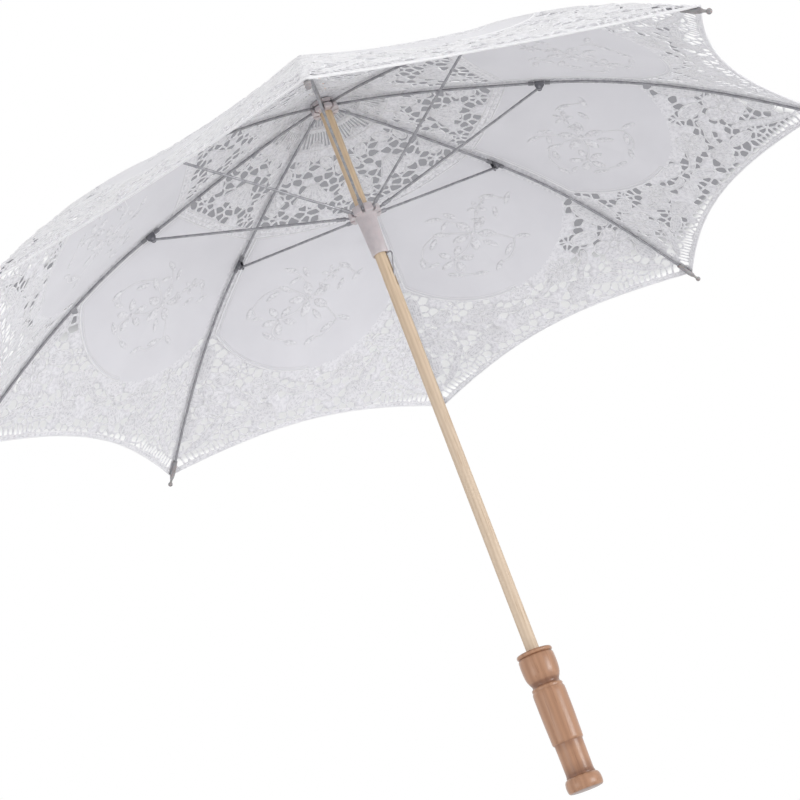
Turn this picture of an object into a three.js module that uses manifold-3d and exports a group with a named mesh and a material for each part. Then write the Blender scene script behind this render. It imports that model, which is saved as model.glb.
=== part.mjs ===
// Lace parasol. A wooden shaft with a turned handle carries a slotted crown, eight steel ribs
// and a cotton cover; a plastic runner slides on the shaft and opens the ribs with eight
// stretchers, and a wire catch holds it up. Millimetres, +Z up the shaft from the handle's end.
import * as THREE from 'three';
import { mergeVertices } from 'three/addons/utils/BufferGeometryUtils.js';
import Module from 'manifold-3d';

const wasm = await Module();
wasm.setup();

// ---- Driving dimensions, in millimetres and degrees ----
const GAP = 0.3; // clearance between pieces that touch or run on each other
const RIB_COUNT = 8;

const SHAFT_R = 5.25;
const CROWN_Z = 600; // height of the rib pivots above the handle's flat end

const HANDLE_LENGTH = 110;
const HANDLE_R = 14.2; // bulb and end bead
const HANDLE_BODY_R = 12.9;
const HANDLE_STEM_R = 10.8; // neck under the bulb, and the thinner lower body
const SOCKET_DEPTH = 38;

const FERRULE_LENGTH = 37;
const FERRULE_WALL = 3.05;
const FERRULE_SOCKET = 16;

const NOTCH_CORE = 3.45; // shaft hole to the ring of rib pivots
const NOTCH_LIP = 2.6; // rib pivots to the notch's rim
const NOTCH_ABOVE = 4.5;
const NOTCH_BELOW = 4.8;
const CROWN_WIRE_R = 0.45;
const CROWN_PIN_R = 0.6;
const WASHER_RIM = 6.45;
const WASHER_THICK = 1.2;

const RIB_WIRE_R = 1.1;
const RIB_EYE_R = 2;
const RIB_EYE_THICK = 1;
const RIB_TONGUE_SPARE = 4.9; // flat tongue left outside the notch
const JOINT_R = 173.8; // where a stretcher meets its rib, measured out from the axis
const JOINT_DROP = 50.6;
const TIP_R = 373.3; // where the cover's corner meets the rib's end
const TIP_DROP = 168.5;
const CROWN_SLOPE = 12; // the rib's slope below level, at the crown, the joint and the tip
const JOINT_SLOPE = 19;
const TIP_SLOPE = 38;

const CLIP_WALL = 0.5;
const CLIP_LENGTH = 8;
const CLIP_HANG = 4.3; // rib centre to the rivet
const RIVET_R = 0.55;
const RIVET_HEAD_R = 1.1;
const RIVET_HEAD_THICK = 0.5;

const STRETCHER_WIRE_R = 1.1;
const STRETCHER_EYE_R = 1.9;
const STRETCHER_EYE_THICK = 1.8;
const STRETCHER_TONGUE = 5.5;
const RING_EYE_R = 1.7; // the stretcher's eye on the runner's tie wire
const SLEEVE_R = 1.75;
const SLEEVE_LENGTH = 8;

const RUNNER_RING_DROP = 102.4; // rib pivots down to the stretcher ring when open
const RUNNER_FLANGE_HALF = 3.5;
const RUNNER_LENGTH = 43;
const RUNNER_WALL = 2.75;
const RUNNER_FOOT_WALL = 1.35;
const RUNNER_RING_REACH = 3.7; // the stretcher ring outside the runner's tube
const RUNNER_FLANGE_LIP = 1.7;
const RUNNER_WIRE_R = 0.5;

const CATCH_WIRE_R = 0.65;
const CATCH_REACH = 5.2; // how far the hook stands out from the shaft
const CATCH_DROP = 25; // hook's shelf down to its buried foot
const CATCH_AZIMUTH = -22.5; // halfway between two ribs
const CATCH_SLOT_FLOOR = 3.8; // slot depth past the shaft's centre, room for the pressed hook

const TIP_SLEEVE_R = 2.3;
const TIP_SLEEVE_LENGTH = 17;
const TIP_BALL_R = 2.2;
const TIP_REACH = 9.8; // rib end to the far side of the ball
const TIP_SOCKET_SHORT = 2.5; // solid plastic between the wire's end and the neck

const CLOTH_THICK = 1;
const CLOTH_HOLE_CLEAR = 0.85;
const HEM_RISE = 0.087; // how far the hem cuts up between two tips, as a share of the rib
const GORE_SAG = 10.9; // how far the cover dips between two ribs at the hem
const CLOTH_SETTLE = 40; // rib length over which the cover comes down from the crown to the rib
const CLOTH_STEPS = 11; // facets along a panel, the first of them flat on the crown

// ---- Sizes that follow from them ----
const DEG = Math.PI / 180;
const HALF_GORE = Math.PI / RIB_COUNT;
const BORE_R = SHAFT_R + GAP;
const PIVOT_R = BORE_R + NOTCH_CORE;
const NOTCH_R = PIVOT_R + NOTCH_LIP;
const RIB_TONGUE = NOTCH_LIP + RIB_TONGUE_SPARE;
const WASHER_R = BORE_R + WASHER_RIM;
const FERRULE_R = BORE_R + FERRULE_WALL;
const RUNNER_R = BORE_R + RUNNER_WALL;
const RUNNER_FOOT_R = BORE_R + RUNNER_FOOT_WALL;
const RUNNER_RING_R = RUNNER_R + RUNNER_RING_REACH;
const RUNNER_FLANGE_R = RUNNER_RING_R + RUNNER_FLANGE_LIP;
const CLOTH_HOLE_R = (SHAFT_R + CLOTH_HOLE_CLEAR) / Math.cos(Math.PI / RIB_COUNT);
const RING_Z = CROWN_Z - RUNNER_RING_DROP;
const NOTCH_TOP = CROWN_Z + NOTCH_ABOVE;
const CLIP_INNER = RIB_WIRE_R + GAP - 0.05;
const CLIP_OUTER = CLIP_INNER + CLIP_WALL;
const CLOTH_RISE = Math.max(TIP_SLEEVE_R, CLIP_OUTER) + 2 * GAP;
const CLOTH_Z = NOTCH_TOP + GAP; // underside of the cover on the crown
const CLOTH_FLAT = NOTCH_R + 1 - PIVOT_R; // rib length under the cover's flat centre
const WASHER_Z = CLOTH_Z + CLOTH_THICK + GAP;
const FERRULE_Z = WASHER_Z + WASHER_THICK + GAP;
const SHAFT_FOOT = HANDLE_LENGTH - SOCKET_DEPTH + GAP;
const SHAFT_TOP = FERRULE_Z + FERRULE_SOCKET - GAP;
const TIP_STRAIGHT = TIP_SLEEVE_LENGTH + GAP; // the rib's end is straight inside its sleeve
const RUNNER_TOP = RING_Z + RUNNER_FLANGE_HALF;
const RUNNER_FOOT = RUNNER_TOP - RUNNER_LENGTH;

// ---- Working with solids ----
function facets(geometry) {
  const bare = geometry.index ? geometry.toNonIndexed() : geometry;
  bare.deleteAttribute('normal');
  bare.deleteAttribute('uv');
  const merged = mergeVertices(bare, 1e-4);
  const place = merged.attributes.position.array;
  const corners = merged.index.array;
  const kept = [];
  for (let i = 0; i < corners.length; i += 3) {
    const [a, b, c] = corners.slice(i, i + 3);
    if (a !== b && b !== c && c !== a) kept.push(a, b, c);
  }
  return { place, kept };
}

function solid(geometry) {
  const { place, kept } = facets(geometry);
  const mesh = new wasm.Mesh({
    numProp: 3,
    vertProperties: new Float32Array(place),
    triVerts: new Uint32Array(outwards(place, kept)),
  });
  return new wasm.Manifold(mesh);
}

function outwards(place, corners) {
  const at = (n) => new THREE.Vector3().fromArray(place, 3 * n);
  let volume = 0;
  for (let i = 0; i < corners.length; i += 3) {
    const [a, b, c] = corners.slice(i, i + 3).map(at);
    volume += a.dot(b.cross(c));
  }
  return volume < 0 ? corners.slice().reverse() : corners;
}

function geometryOf(manifold) {
  const { vertProperties, triVerts } = manifold.getMesh();
  const geometry = new THREE.BufferGeometry();
  geometry.setAttribute('position', new THREE.BufferAttribute(new Float32Array(vertProperties), 3));
  geometry.setIndex(new THREE.BufferAttribute(new Uint32Array(triVerts), 1));
  return geometry;
}

function join(...geometries) {
  return geometryOf(geometries.map(solid).reduce((a, b) => a.add(b)));
}

function cut(geometry, ...tools) {
  return geometryOf(tools.map(solid).reduce((a, b) => a.subtract(b), solid(geometry)));
}

// A turned piece: [radius, height] points, on the axis at both ends or closing on themselves.
function turned(outline, sides = 28) {
  const points = outline.map(([r, z]) => new THREE.Vector2(r, z));
  return new THREE.LatheGeometry(points, sides).rotateX(Math.PI / 2);
}

function tube(outline, sides) {
  return turned([...outline, outline[0]], sides);
}

// A flat plate in the X-Z plane, from a shape drawn in X and Z, half its thickness each side.
function plate(shape, thick, curveSegments = 5) {
  const settings = { depth: thick, bevelEnabled: false, curveSegments };
  return new THREE.ExtrudeGeometry(shape, settings).translate(0, 0, -thick / 2).rotateX(Math.PI / 2);
}

function wire(curve, radius, steps, sides = 8) {
  const section = new THREE.Shape().absarc(0, 0, radius, 0, 2 * Math.PI);
  const settings = { steps, extrudePath: curve, curveSegments: sides / 2 };
  return new THREE.ExtrudeGeometry(section, settings);
}

function rod(radius, from, to, sides = 8) {
  const length = to - from;
  const bar = new THREE.CylinderGeometry(radius, radius, length, sides);
  return bar.rotateZ(-Math.PI / 2).translate(from + length / 2, 0, 0);
}

// A flat eye around the origin with a tongue along +X.
function eyeShape(outer, hole, tongue, halfWide) {
  const turn = Math.asin(halfWide / outer);
  const shape = new THREE.Shape();
  shape.moveTo(tongue, -halfWide);
  shape.lineTo(tongue, halfWide);
  shape.absarc(0, 0, outer, turn, 2 * Math.PI - turn, false);
  shape.holes.push(new THREE.Path().absarc(0, 0, hole, 0, 2 * Math.PI, true));
  return shape;
}

// Radial slots cut from a ring, one for each rib.
function slots(width, inner, outer, low, high) {
  return Array.from({ length: RIB_COUNT }, (_, n) => {
    const box = new THREE.BoxGeometry(outer - inner, width, high - low);
    box.translate((inner + outer) / 2, 0, (low + high) / 2);
    return box.rotateZ(2 * n * HALF_GORE);
  });
}

// ---- The rib's line, as [radius, height] by the length along it from its pivot ----
function fall(slope, length) {
  const down = new THREE.Vector2(Math.cos(slope * DEG), -Math.sin(slope * DEG));
  return down.multiplyScalar(length);
}

function span(a, b, slopeA, slopeB) {
  const third = a.distanceTo(b) / 3;
  const leave = a.clone().add(fall(slopeA, third));
  const arrive = b.clone().sub(fall(slopeB, third));
  return new THREE.CubicBezierCurve(a, leave, arrive, b);
}

const pivotPoint = new THREE.Vector2(PIVOT_R, CROWN_Z);
const jointPoint = new THREE.Vector2(JOINT_R, CROWN_Z - JOINT_DROP);
const tipPoint = new THREE.Vector2(TIP_R, CROWN_Z - TIP_DROP);
const tipHeel = tipPoint.clone().sub(fall(TIP_SLOPE, TIP_STRAIGHT));
const ribLine = new THREE.CurvePath();
ribLine.add(span(pivotPoint, jointPoint, CROWN_SLOPE, JOINT_SLOPE));
ribLine.add(span(jointPoint, tipHeel, JOINT_SLOPE, TIP_SLOPE));
ribLine.add(new THREE.LineCurve(tipHeel, tipPoint));
const RIB_LENGTH = ribLine.getLength();

function ribAt(length) {
  if (length <= 0) return pivotPoint.clone().add(fall(CROWN_SLOPE, length));
  if (length >= RIB_LENGTH) return tipPoint.clone().add(fall(TIP_SLOPE, length - RIB_LENGTH));
  return ribLine.getPoint(length / RIB_LENGTH);
}

function slopeAt(length) {
  const step = ribAt(length + 0.5).sub(ribAt(length - 0.5));
  return -Math.atan2(step.y, step.x);
}

// ---- Shaft, handle and top ----
const catchAzimuth = CATCH_AZIMUTH * DEG;
const catchTop = RUNNER_FOOT - GAP - CATCH_WIRE_R;

function crownPinTool(radius, length) {
  const bar = new THREE.CylinderGeometry(radius, radius, length, 12).rotateZ(-Math.PI / 2);
  return bar.rotateZ(HALF_GORE).translate(0, 0, CROWN_Z - (NOTCH_BELOW + CROWN_WIRE_R + GAP) / 2);
}

function shaft() {
  const stick = turned([[0, SHAFT_FOOT], [SHAFT_R, SHAFT_FOOT], [SHAFT_R, SHAFT_TOP], [0, SHAFT_TOP]], 24);
  const wide = 2 * (CATCH_WIRE_R + GAP);
  const deep = CATCH_SLOT_FLOOR + SHAFT_R + 1;
  const high = CATCH_DROP + 2 * CATCH_WIRE_R + 6;
  const slot = new THREE.BoxGeometry(deep, wide, high);
  slot.translate(deep / 2 - CATCH_SLOT_FLOOR, 0, catchTop + 2.5 - high / 2);
  return cut(stick, slot.rotateZ(catchAzimuth), crownPinTool(CROWN_PIN_R + GAP, 4 * SHAFT_R));
}

function handle() {
  const top = HANDLE_LENGTH;
  const stem = HANDLE_STEM_R;
  const body = HANDLE_BODY_R;
  const outline = [
    [0, top - SOCKET_DEPTH], [BORE_R, top - SOCKET_DEPTH], [BORE_R, top],
    [HANDLE_R - 0.8, top], [HANDLE_R - 0.1, top - 0.8], [HANDLE_R - 0.1, top - 2.6],
    [HANDLE_R - 0.9, top - 3.3], [HANDLE_R - 0.3, top - 4.2], [HANDLE_R, top - 9],
    [HANDLE_R - 0.1, top - 15], [HANDLE_R - 0.9, top - 20], [HANDLE_R - 2.6, top - 24.2],
    [stem, top - 26.3], [stem + 0.5, top - 27.5], [body - 0.7, top - 28.4],
    [body - 0.8, top - 30], [body - 0.3, top - 31], [body, top - 33],
    [body - 0.2, top - 52], [body - 0.5, 39], [body - 0.8, 37.6], [stem + 0.4, 36.8],
    [stem + 0.2, 30], [stem, 14], [stem + 0.3, 11.6], [HANDLE_R - 1.3, 9.4],
    [HANDLE_R - 0.3, 7.4], [HANDLE_R, 4.6], [HANDLE_R - 0.3, 1.6], [HANDLE_R - 1.2, 0], [0, 0],
  ];
  return turned(outline, 26);
}

function ferrule() {
  const at = (h) => FERRULE_Z + h;
  return turned([
    [0, at(FERRULE_SOCKET)], [BORE_R, at(FERRULE_SOCKET)], [BORE_R, at(0)],
    [FERRULE_R, at(0)], [FERRULE_R, at(2.4)], [FERRULE_R - 1.1, at(3.6)], [FERRULE_R - 0.8, at(7)],
    [FERRULE_R - 1.3, at(14)], [FERRULE_R - 3, at(24)], [FERRULE_R - 4.6, at(31)],
    [FERRULE_R - 5.1, at(FERRULE_LENGTH - 2)], [FERRULE_R - 6.4, at(FERRULE_LENGTH - 0.4)],
    [0, at(FERRULE_LENGTH)],
  ], 20);
}

function topWasher() {
  const top = WASHER_Z + WASHER_THICK;
  return tube([
    [BORE_R, WASHER_Z], [WASHER_R, WASHER_Z], [WASHER_R, WASHER_Z + 0.5],
    [WASHER_R - 2.4, top], [BORE_R, top],
  ], 24);
}

// ---- Crown: a slotted ring with a groove for the wire that the rib eyes are threaded on ----
function crownNotch() {
  const low = CROWN_Z - NOTCH_BELOW;
  const groove = CROWN_WIRE_R + GAP;
  const floor = PIVOT_R - groove;
  const ring = tube([
    [BORE_R, low], [NOTCH_R - 0.6, low], [NOTCH_R, low + 0.6], [NOTCH_R, CROWN_Z - groove],
    [floor, CROWN_Z - groove], [floor, CROWN_Z + groove], [NOTCH_R, CROWN_Z + groove],
    [NOTCH_R, NOTCH_TOP - 0.8], [NOTCH_R - 0.8, NOTCH_TOP], [BORE_R, NOTCH_TOP],
  ]);
  const slotTop = CROWN_Z + RIB_EYE_R + 2 * GAP;
  const cuts = slots(RIB_EYE_THICK + 3 * GAP, PIVOT_R - RIB_EYE_R - GAP, NOTCH_R + 2, low - 1, slotTop);
  return cut(ring, ...cuts, crownPinTool(CROWN_PIN_R + GAP, 4 * NOTCH_R));
}

function tieWire(ringR, wireR, z) {
  return new THREE.TorusGeometry(ringR, wireR, 6, 28).translate(0, 0, z);
}

// ---- Runner: a tube on the shaft with a slotted flange for the stretcher eyes ----
function runner() {
  const groove = RUNNER_WIRE_R + GAP;
  const floor = RING_Z - groove;
  const low = RING_Z - RUNNER_FLANGE_HALF;
  const sleeve = tube([
    [BORE_R, RUNNER_FOOT], [RUNNER_FOOT_R, RUNNER_FOOT], [RUNNER_R, low - 3], [RUNNER_R, low],
    [RUNNER_FLANGE_R - 0.6, low], [RUNNER_FLANGE_R, low + 0.6], [RUNNER_FLANGE_R, RUNNER_TOP],
    [RUNNER_RING_R + groove, RUNNER_TOP], [RUNNER_RING_R + groove, floor],
    [RUNNER_RING_R - groove, floor], [RUNNER_RING_R - groove, RUNNER_TOP], [BORE_R, RUNNER_TOP],
  ]);
  const wide = 2 * (STRETCHER_WIRE_R + GAP);
  const inner = RUNNER_RING_R - RING_EYE_R - GAP;
  return cut(sleeve, ...slots(wide, inner, RUNNER_FLANGE_R + 2, low - 1, RUNNER_TOP + 1));
}

// ---- Catch: a bent spring wire whose shelf the runner rests on ----
function catchSpring() {
  const out = SHAFT_R + CATCH_REACH - CATCH_WIRE_R;
  const foot = catchTop - CATCH_DROP;
  const bends = [
    [2.5, catchTop - 2.2], [SHAFT_R - 0.6, catchTop - 1], [out - 2.2, catchTop],
    [out - 0.5, catchTop - 0.7], [out, catchTop - 2.6], [out - 1.6, catchTop - 9],
    [SHAFT_R - 0.4, foot + 5.5], [2.6, foot + 1.4], [1.2, foot],
  ];
  const line = new THREE.CatmullRomCurve3(bends.map(([r, z]) => new THREE.Vector3(r, 0, z)), false, 'centripetal');
  return wire(line, CATCH_WIRE_R, 20).rotateZ(catchAzimuth);
}

// ---- One rib and what rides on it, in the X-Z plane ----
function rib() {
  const steps = 12;
  const start = RIB_TONGUE - 2;
  const end = RIB_LENGTH - TIP_STRAIGHT;
  const points = Array.from({ length: steps + 1 }, (_, n) => {
    const at = ribAt(start + ((end - start) * n) / steps);
    return new THREE.Vector3(at.x, 0, at.y);
  });
  const bar = wire(new THREE.CatmullRomCurve3(points), RIB_WIRE_R, steps);
  const tail = rod(RIB_WIRE_R, -TIP_STRAIGHT - 1, -TIP_SOCKET_SHORT - GAP);
  tail.rotateY(TIP_SLOPE * DEG).translate(tipPoint.x, 0, tipPoint.y);
  const flat = eyeShape(RIB_EYE_R, CROWN_WIRE_R + GAP, RIB_TONGUE, RIB_WIRE_R - 0.2);
  const eye = plate(flat, RIB_EYE_THICK).rotateY(CROWN_SLOPE * DEG).translate(PIVOT_R, 0, CROWN_Z);
  return join(bar, tail, eye);
}

function jointFrame(geometry) {
  return geometry.rotateY(JOINT_SLOPE * DEG).translate(jointPoint.x, 0, jointPoint.y);
}

function ribClip() {
  const foot = CLIP_HANG + STRETCHER_EYE_R + GAP;
  const bridge = new THREE.Shape();
  bridge.moveTo(CLIP_INNER, -foot);
  bridge.lineTo(CLIP_OUTER, -foot);
  bridge.absarc(0, 0, CLIP_OUTER, 0, Math.PI, false);
  bridge.lineTo(-CLIP_OUTER, -foot);
  bridge.lineTo(-CLIP_INNER, -foot);
  bridge.absarc(0, 0, CLIP_INNER, Math.PI, 0, true);
  const channel = new THREE.ExtrudeGeometry(bridge, {
    depth: CLIP_LENGTH, bevelEnabled: false, curveSegments: 4,
  });
  channel.translate(0, 0, -CLIP_LENGTH / 2).applyMatrix4(new THREE.Matrix4().makeBasis(
    new THREE.Vector3(0, 1, 0), new THREE.Vector3(0, 0, 1), new THREE.Vector3(1, 0, 0),
  ));
  const cheek = new THREE.Shape();
  const round = foot - CLIP_HANG;
  cheek.moveTo(-CLIP_LENGTH, CLIP_LENGTH);
  cheek.lineTo(-CLIP_LENGTH / 2, -RIB_WIRE_R);
  cheek.absarc(0, -CLIP_HANG, round, Math.PI, 2 * Math.PI, false);
  cheek.lineTo(CLIP_LENGTH / 2, -RIB_WIRE_R);
  cheek.lineTo(CLIP_LENGTH, CLIP_LENGTH);
  const side = plate(cheek, 4 * CLIP_OUTER, 4);
  const hole = new THREE.CylinderGeometry(RIVET_R + GAP, RIVET_R + GAP, 4 * CLIP_OUTER, 10);
  hole.translate(0, 0, -CLIP_HANG);
  const trimmed = solid(channel).intersect(solid(side)).subtract(solid(hole));
  return jointFrame(geometryOf(trimmed));
}

function clipRivet() {
  const inner = CLIP_OUTER + GAP;
  const end = inner + RIVET_HEAD_THICK;
  const outline = [
    [0, -end], [RIVET_HEAD_R, -end], [RIVET_HEAD_R, -inner], [RIVET_R, -inner],
    [RIVET_R, inner], [RIVET_HEAD_R, inner], [RIVET_HEAD_R, end], [0, end],
  ];
  const pin = new THREE.LatheGeometry(outline.map(([r, y]) => new THREE.Vector2(r, y)), 8);
  return jointFrame(pin.translate(0, 0, -CLIP_HANG));
}

function ribTip() {
  const start = -TIP_SLEEVE_LENGTH;
  const bore = RIB_WIRE_R + GAP;
  const ball = TIP_REACH - TIP_BALL_R;
  const outline = [[0, TIP_REACH]];
  for (const turn of [40, 90, 130]) {
    outline.push([TIP_BALL_R * Math.sin(turn * DEG), ball + TIP_BALL_R * Math.cos(turn * DEG)]);
  }
  outline.push(
    [1.1, ball - 2.4], [1.2, 2], [TIP_SLEEVE_R - 0.4, 0], [TIP_SLEEVE_R, -4],
    [TIP_SLEEVE_R - 0.3, start], [bore, start], [bore, -TIP_SOCKET_SHORT], [0, -TIP_SOCKET_SHORT],
  );
  const piece = new THREE.LatheGeometry(outline.map(([r, y]) => new THREE.Vector2(r, y)), 12);
  return piece.rotateZ(-Math.PI / 2).rotateY(TIP_SLOPE * DEG).translate(tipPoint.x, 0, tipPoint.y);
}

function stretcher() {
  const hang = fall(JOINT_SLOPE + 90, CLIP_HANG);
  const pin = jointPoint.clone().add(hang);
  const run = new THREE.Vector2(RUNNER_RING_R, RING_Z).sub(pin);
  const length = run.length();
  const sleeveEnd = length - RING_EYE_R - STRETCHER_EYE_THICK - GAP - 0.6;
  const flat = STRETCHER_WIRE_R - 0.2;
  const outer = eyeShape(STRETCHER_EYE_R, RIVET_R + GAP, STRETCHER_TONGUE, flat);
  const inner = eyeShape(RING_EYE_R, RUNNER_WIRE_R + GAP, STRETCHER_TONGUE, flat);
  const piece = join(
    plate(outer, STRETCHER_EYE_THICK),
    rod(STRETCHER_WIRE_R, STRETCHER_TONGUE - 2, sleeveEnd - 1),
    rod(SLEEVE_R, sleeveEnd - SLEEVE_LENGTH, sleeveEnd, 10),
    plate(inner, STRETCHER_EYE_THICK).rotateZ(Math.PI).translate(length, 0, 0),
  );
  return piece.rotateY(-Math.atan2(run.y, run.x)).translate(pin.x, 0, pin.y);
}

// ---- One panel of the cover, from mid-gore to mid-gore across its rib ----
function clothLine(length) {
  const settled = THREE.MathUtils.smoothstep(length, CLOTH_FLAT, CLOTH_SETTLE);
  const under = ribAt(length);
  const slope = slopeAt(length) * settled;
  const r = under.x + CLOTH_RISE * Math.sin(slope);
  const z = THREE.MathUtils.lerp(CLOTH_Z, under.y + CLOTH_RISE * Math.cos(slope), settled);
  return { r, z, slope };
}

function canopyPanel() {
  const box = new THREE.BoxGeometry(1, 2, 1, CLOTH_STEPS, 6, 1);
  const position = box.attributes.position;
  const start = CLOTH_HOLE_R - PIVOT_R;
  for (let i = 0; i < position.count; i += 1) {
    const along = position.getX(i) + 0.5;
    const across = position.getY(i);
    const side = position.getZ(i) + 0.5;
    const off = Math.abs(across);
    const dip = 2 * off - off * off;
    const hem = RIB_LENGTH * (1 - HEM_RISE * dip);
    const step = along * CLOTH_STEPS;
    const length = step < 1
      ? start + (CLOTH_FLAT - start) * step
      : CLOTH_FLAT + ((hem - CLOTH_FLAT) * (step - 1)) / (CLOTH_STEPS - 1);
    const { r, z, slope } = clothLine(length);
    const turn = Math.sign(across) * HALF_GORE;
    const mid = new THREE.Vector2(Math.cos(turn), Math.sin(turn)).multiplyScalar(r * Math.cos(HALF_GORE));
    const flat = new THREE.Vector2(r, 0).lerp(mid, off);
    const out = flat.clone().normalize().multiplyScalar(Math.sin(slope) * CLOTH_THICK * side);
    const drop = GORE_SAG * (Math.max(length, 0) / RIB_LENGTH) * dip;
    const seam = new THREE.Vector2(Math.sin(turn), -Math.cos(turn)).multiplyScalar((off * GAP) / 2);
    if (across < 0) seam.negate();
    flat.add(out).add(seam);
    position.setXYZ(i, flat.x, flat.y, z - drop + Math.cos(slope) * CLOTH_THICK * side);
  }
  return box;
}

// ---- The assembly ----
const finishes = {
  birch: new THREE.MeshStandardMaterial({ color: 0xcdb596, roughness: 0.6, metalness: 0 }),
  varnished: new THREE.MeshStandardMaterial({ color: 0xb98057, roughness: 0.35, metalness: 0 }),
  steel: new THREE.MeshStandardMaterial({ color: 0x8d8d92, roughness: 0.35, metalness: 1 }),
  plastic: new THREE.MeshStandardMaterial({ color: 0xd9cfd1, roughness: 0.4, metalness: 0 }),
  tip: new THREE.MeshStandardMaterial({ color: 0x9d9498, roughness: 0.5, metalness: 0 }),
  cotton: new THREE.MeshStandardMaterial({ color: 0xe9e7ef, roughness: 0.95, metalness: 0 }),
};

const parasol = new THREE.Group();

function add(name, geometry, finish, parent = parasol) {
  const { place, kept } = facets(geometry);
  const shape = new THREE.BufferGeometry();
  shape.setAttribute('position', new THREE.BufferAttribute(new Float32Array(place), 3));
  shape.setIndex(outwards(place, kept));
  shape.computeVertexNormals();
  const mesh = new THREE.Mesh(shape, finishes[finish]);
  mesh.name = name;
  parent.add(mesh);
}

add('shaft', shaft(), 'birch');
add('handle', handle(), 'varnished');
add('ferrule', ferrule(), 'varnished');
add('top_washer', topWasher(), 'steel');
add('crown_notch', crownNotch(), 'plastic');
add('crown_tie_wire', tieWire(PIVOT_R, CROWN_WIRE_R, CROWN_Z), 'steel');
add('crown_pin', crownPinTool(CROWN_PIN_R, 2 * (NOTCH_R - 0.4)), 'steel');
add('runner', runner(), 'plastic');
add('runner_tie_wire', tieWire(RUNNER_RING_R, RUNNER_WIRE_R, RING_Z), 'steel');
add('catch_spring', catchSpring(), 'steel');

const armPieces = [
  ['rib', rib(), 'steel'],
  ['rib_clip', ribClip(), 'steel'],
  ['clip_rivet', clipRivet(), 'steel'],
  ['rib_tip', ribTip(), 'tip'],
  ['stretcher', stretcher(), 'steel'],
  ['canopy_panel', canopyPanel(), 'cotton'],
];
for (let n = 0; n < RIB_COUNT; n += 1) {
  const arm = new THREE.Group();
  arm.rotation.z = 2 * n * HALF_GORE;
  parasol.add(arm);
  for (const [name, geometry, finish] of armPieces) {
    add(`${name}_${n + 1}`, geometry.clone(), finish, arm);
  }
}

export default parasol;
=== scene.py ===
import math
import random

import bmesh
import bpy
import numpy as np
from mathutils import Matrix, Quaternion, Vector
from mathutils.geometry import delaunay_2d_cdt


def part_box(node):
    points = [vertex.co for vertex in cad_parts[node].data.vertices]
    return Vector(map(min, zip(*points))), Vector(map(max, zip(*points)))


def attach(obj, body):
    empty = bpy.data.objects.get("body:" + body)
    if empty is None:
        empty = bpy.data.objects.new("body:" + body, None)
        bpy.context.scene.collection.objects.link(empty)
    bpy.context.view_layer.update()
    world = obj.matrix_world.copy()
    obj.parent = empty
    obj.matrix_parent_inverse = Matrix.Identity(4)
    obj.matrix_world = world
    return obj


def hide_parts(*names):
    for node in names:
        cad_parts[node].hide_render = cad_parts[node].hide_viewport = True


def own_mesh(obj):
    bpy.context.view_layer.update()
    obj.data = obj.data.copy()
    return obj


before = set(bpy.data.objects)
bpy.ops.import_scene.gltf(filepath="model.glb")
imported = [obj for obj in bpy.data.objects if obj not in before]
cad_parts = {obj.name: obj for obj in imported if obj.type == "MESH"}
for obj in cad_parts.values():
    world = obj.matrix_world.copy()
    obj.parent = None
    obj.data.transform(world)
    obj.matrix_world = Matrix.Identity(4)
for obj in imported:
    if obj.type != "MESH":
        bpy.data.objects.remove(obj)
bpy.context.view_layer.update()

# ---- Camera ----
# It stands under the open cover, in front of the shaft, and looks up into the lace with the
# crown tipped to the left and the handle hanging down to the right.
EYE = Vector((0.0163, -1.4341, -0.1240))
LOOK_AZIMUTH, LOOK_UP, LEAN = math.radians(91.74), math.radians(17.78), math.radians(-20.74)
look = Vector((
    math.cos(LOOK_UP) * math.cos(LOOK_AZIMUTH),
    math.cos(LOOK_UP) * math.sin(LOOK_AZIMUTH),
    math.sin(LOOK_UP),
))
camera = bpy.data.objects.new("camera", bpy.data.cameras.new("camera"))
bpy.context.collection.objects.link(camera)
camera.location = EYE
camera.rotation_mode = "QUATERNION"
camera.rotation_quaternion = look.to_track_quat("-Z", "Y") @ Quaternion((0, 0, 1), LEAN)
camera.data.sensor_width = 36
camera.data.lens = 84.97
camera.data.clip_end = 60
bpy.context.scene.camera = camera

# ---- Studio ----
# A plain pale floor under the raised parasol, a white sky and three big soft lamps. The sky holds
# painted shade: a bank of grey fitted to the cover's outline as seen from the camera's place. It shows
# as shade through the lace holes, and from anywhere else it doesn't lie behind the cover.
FLOOR_Z, FLOOR_HALF = -0.42, 45
PAINTED_SHADE_ROUNDS = [  # level, reach along a rib, and how far its edge sags between the ribs
    (0.440, 0.360, 0.15), (0.473, 0.315, 0.15), (0.516, 0.245, 0.14),
    (0.550, 0.171, 0.13), (0.576, 0.095, 0.12),
]
PAINTED_SHADE_ARMS, PAINTED_SHADE_EDGE = 8, 0.012
PAINTED_SHADE_LOW, PAINTED_SHADE_HIGH, PAINTED_SHADE_TILT, PALE_SHARE = 0.350, 0.361, 0.20, 0.34
bpy.context.scene.view_settings.view_transform = "Standard"


def node(tree, kind, settings=None, **sockets):
    made = tree.nodes.new("ShaderNode" + kind)
    for name, value in (settings or {}).items():
        setattr(made, name, value)
    for name, value in sockets.items():
        key = int(name[1:]) if name[0] == "i" and name[1:].isdigit() else name.replace("_", " ")
        socket = made.inputs[key]
        if isinstance(value, bpy.types.NodeSocket):
            tree.links.new(value, socket)
        else:
            socket.default_value = value
    return made


def mixed(tree, share, first, second):
    settings = {"data_type": "RGBA", "clamp_factor": True}
    return node(tree, "Mix", settings, i0=share, i6=first, i7=second).outputs[2]


def tinted(tree, share, colour, tint):
    settings = {"data_type": "RGBA", "blend_type": "MULTIPLY"}
    return node(tree, "Mix", settings, i0=share, i6=colour, i7=tint).outputs[2]


def spread(tree, value, low, high, to_low=0.0, to_high=1.0):
    limits = {"From_Min": low, "From_Max": high, "To_Min": to_low, "To_Max": to_high}
    return node(tree, "MapRange", None, Value=value, **limits).outputs[0]


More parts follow.
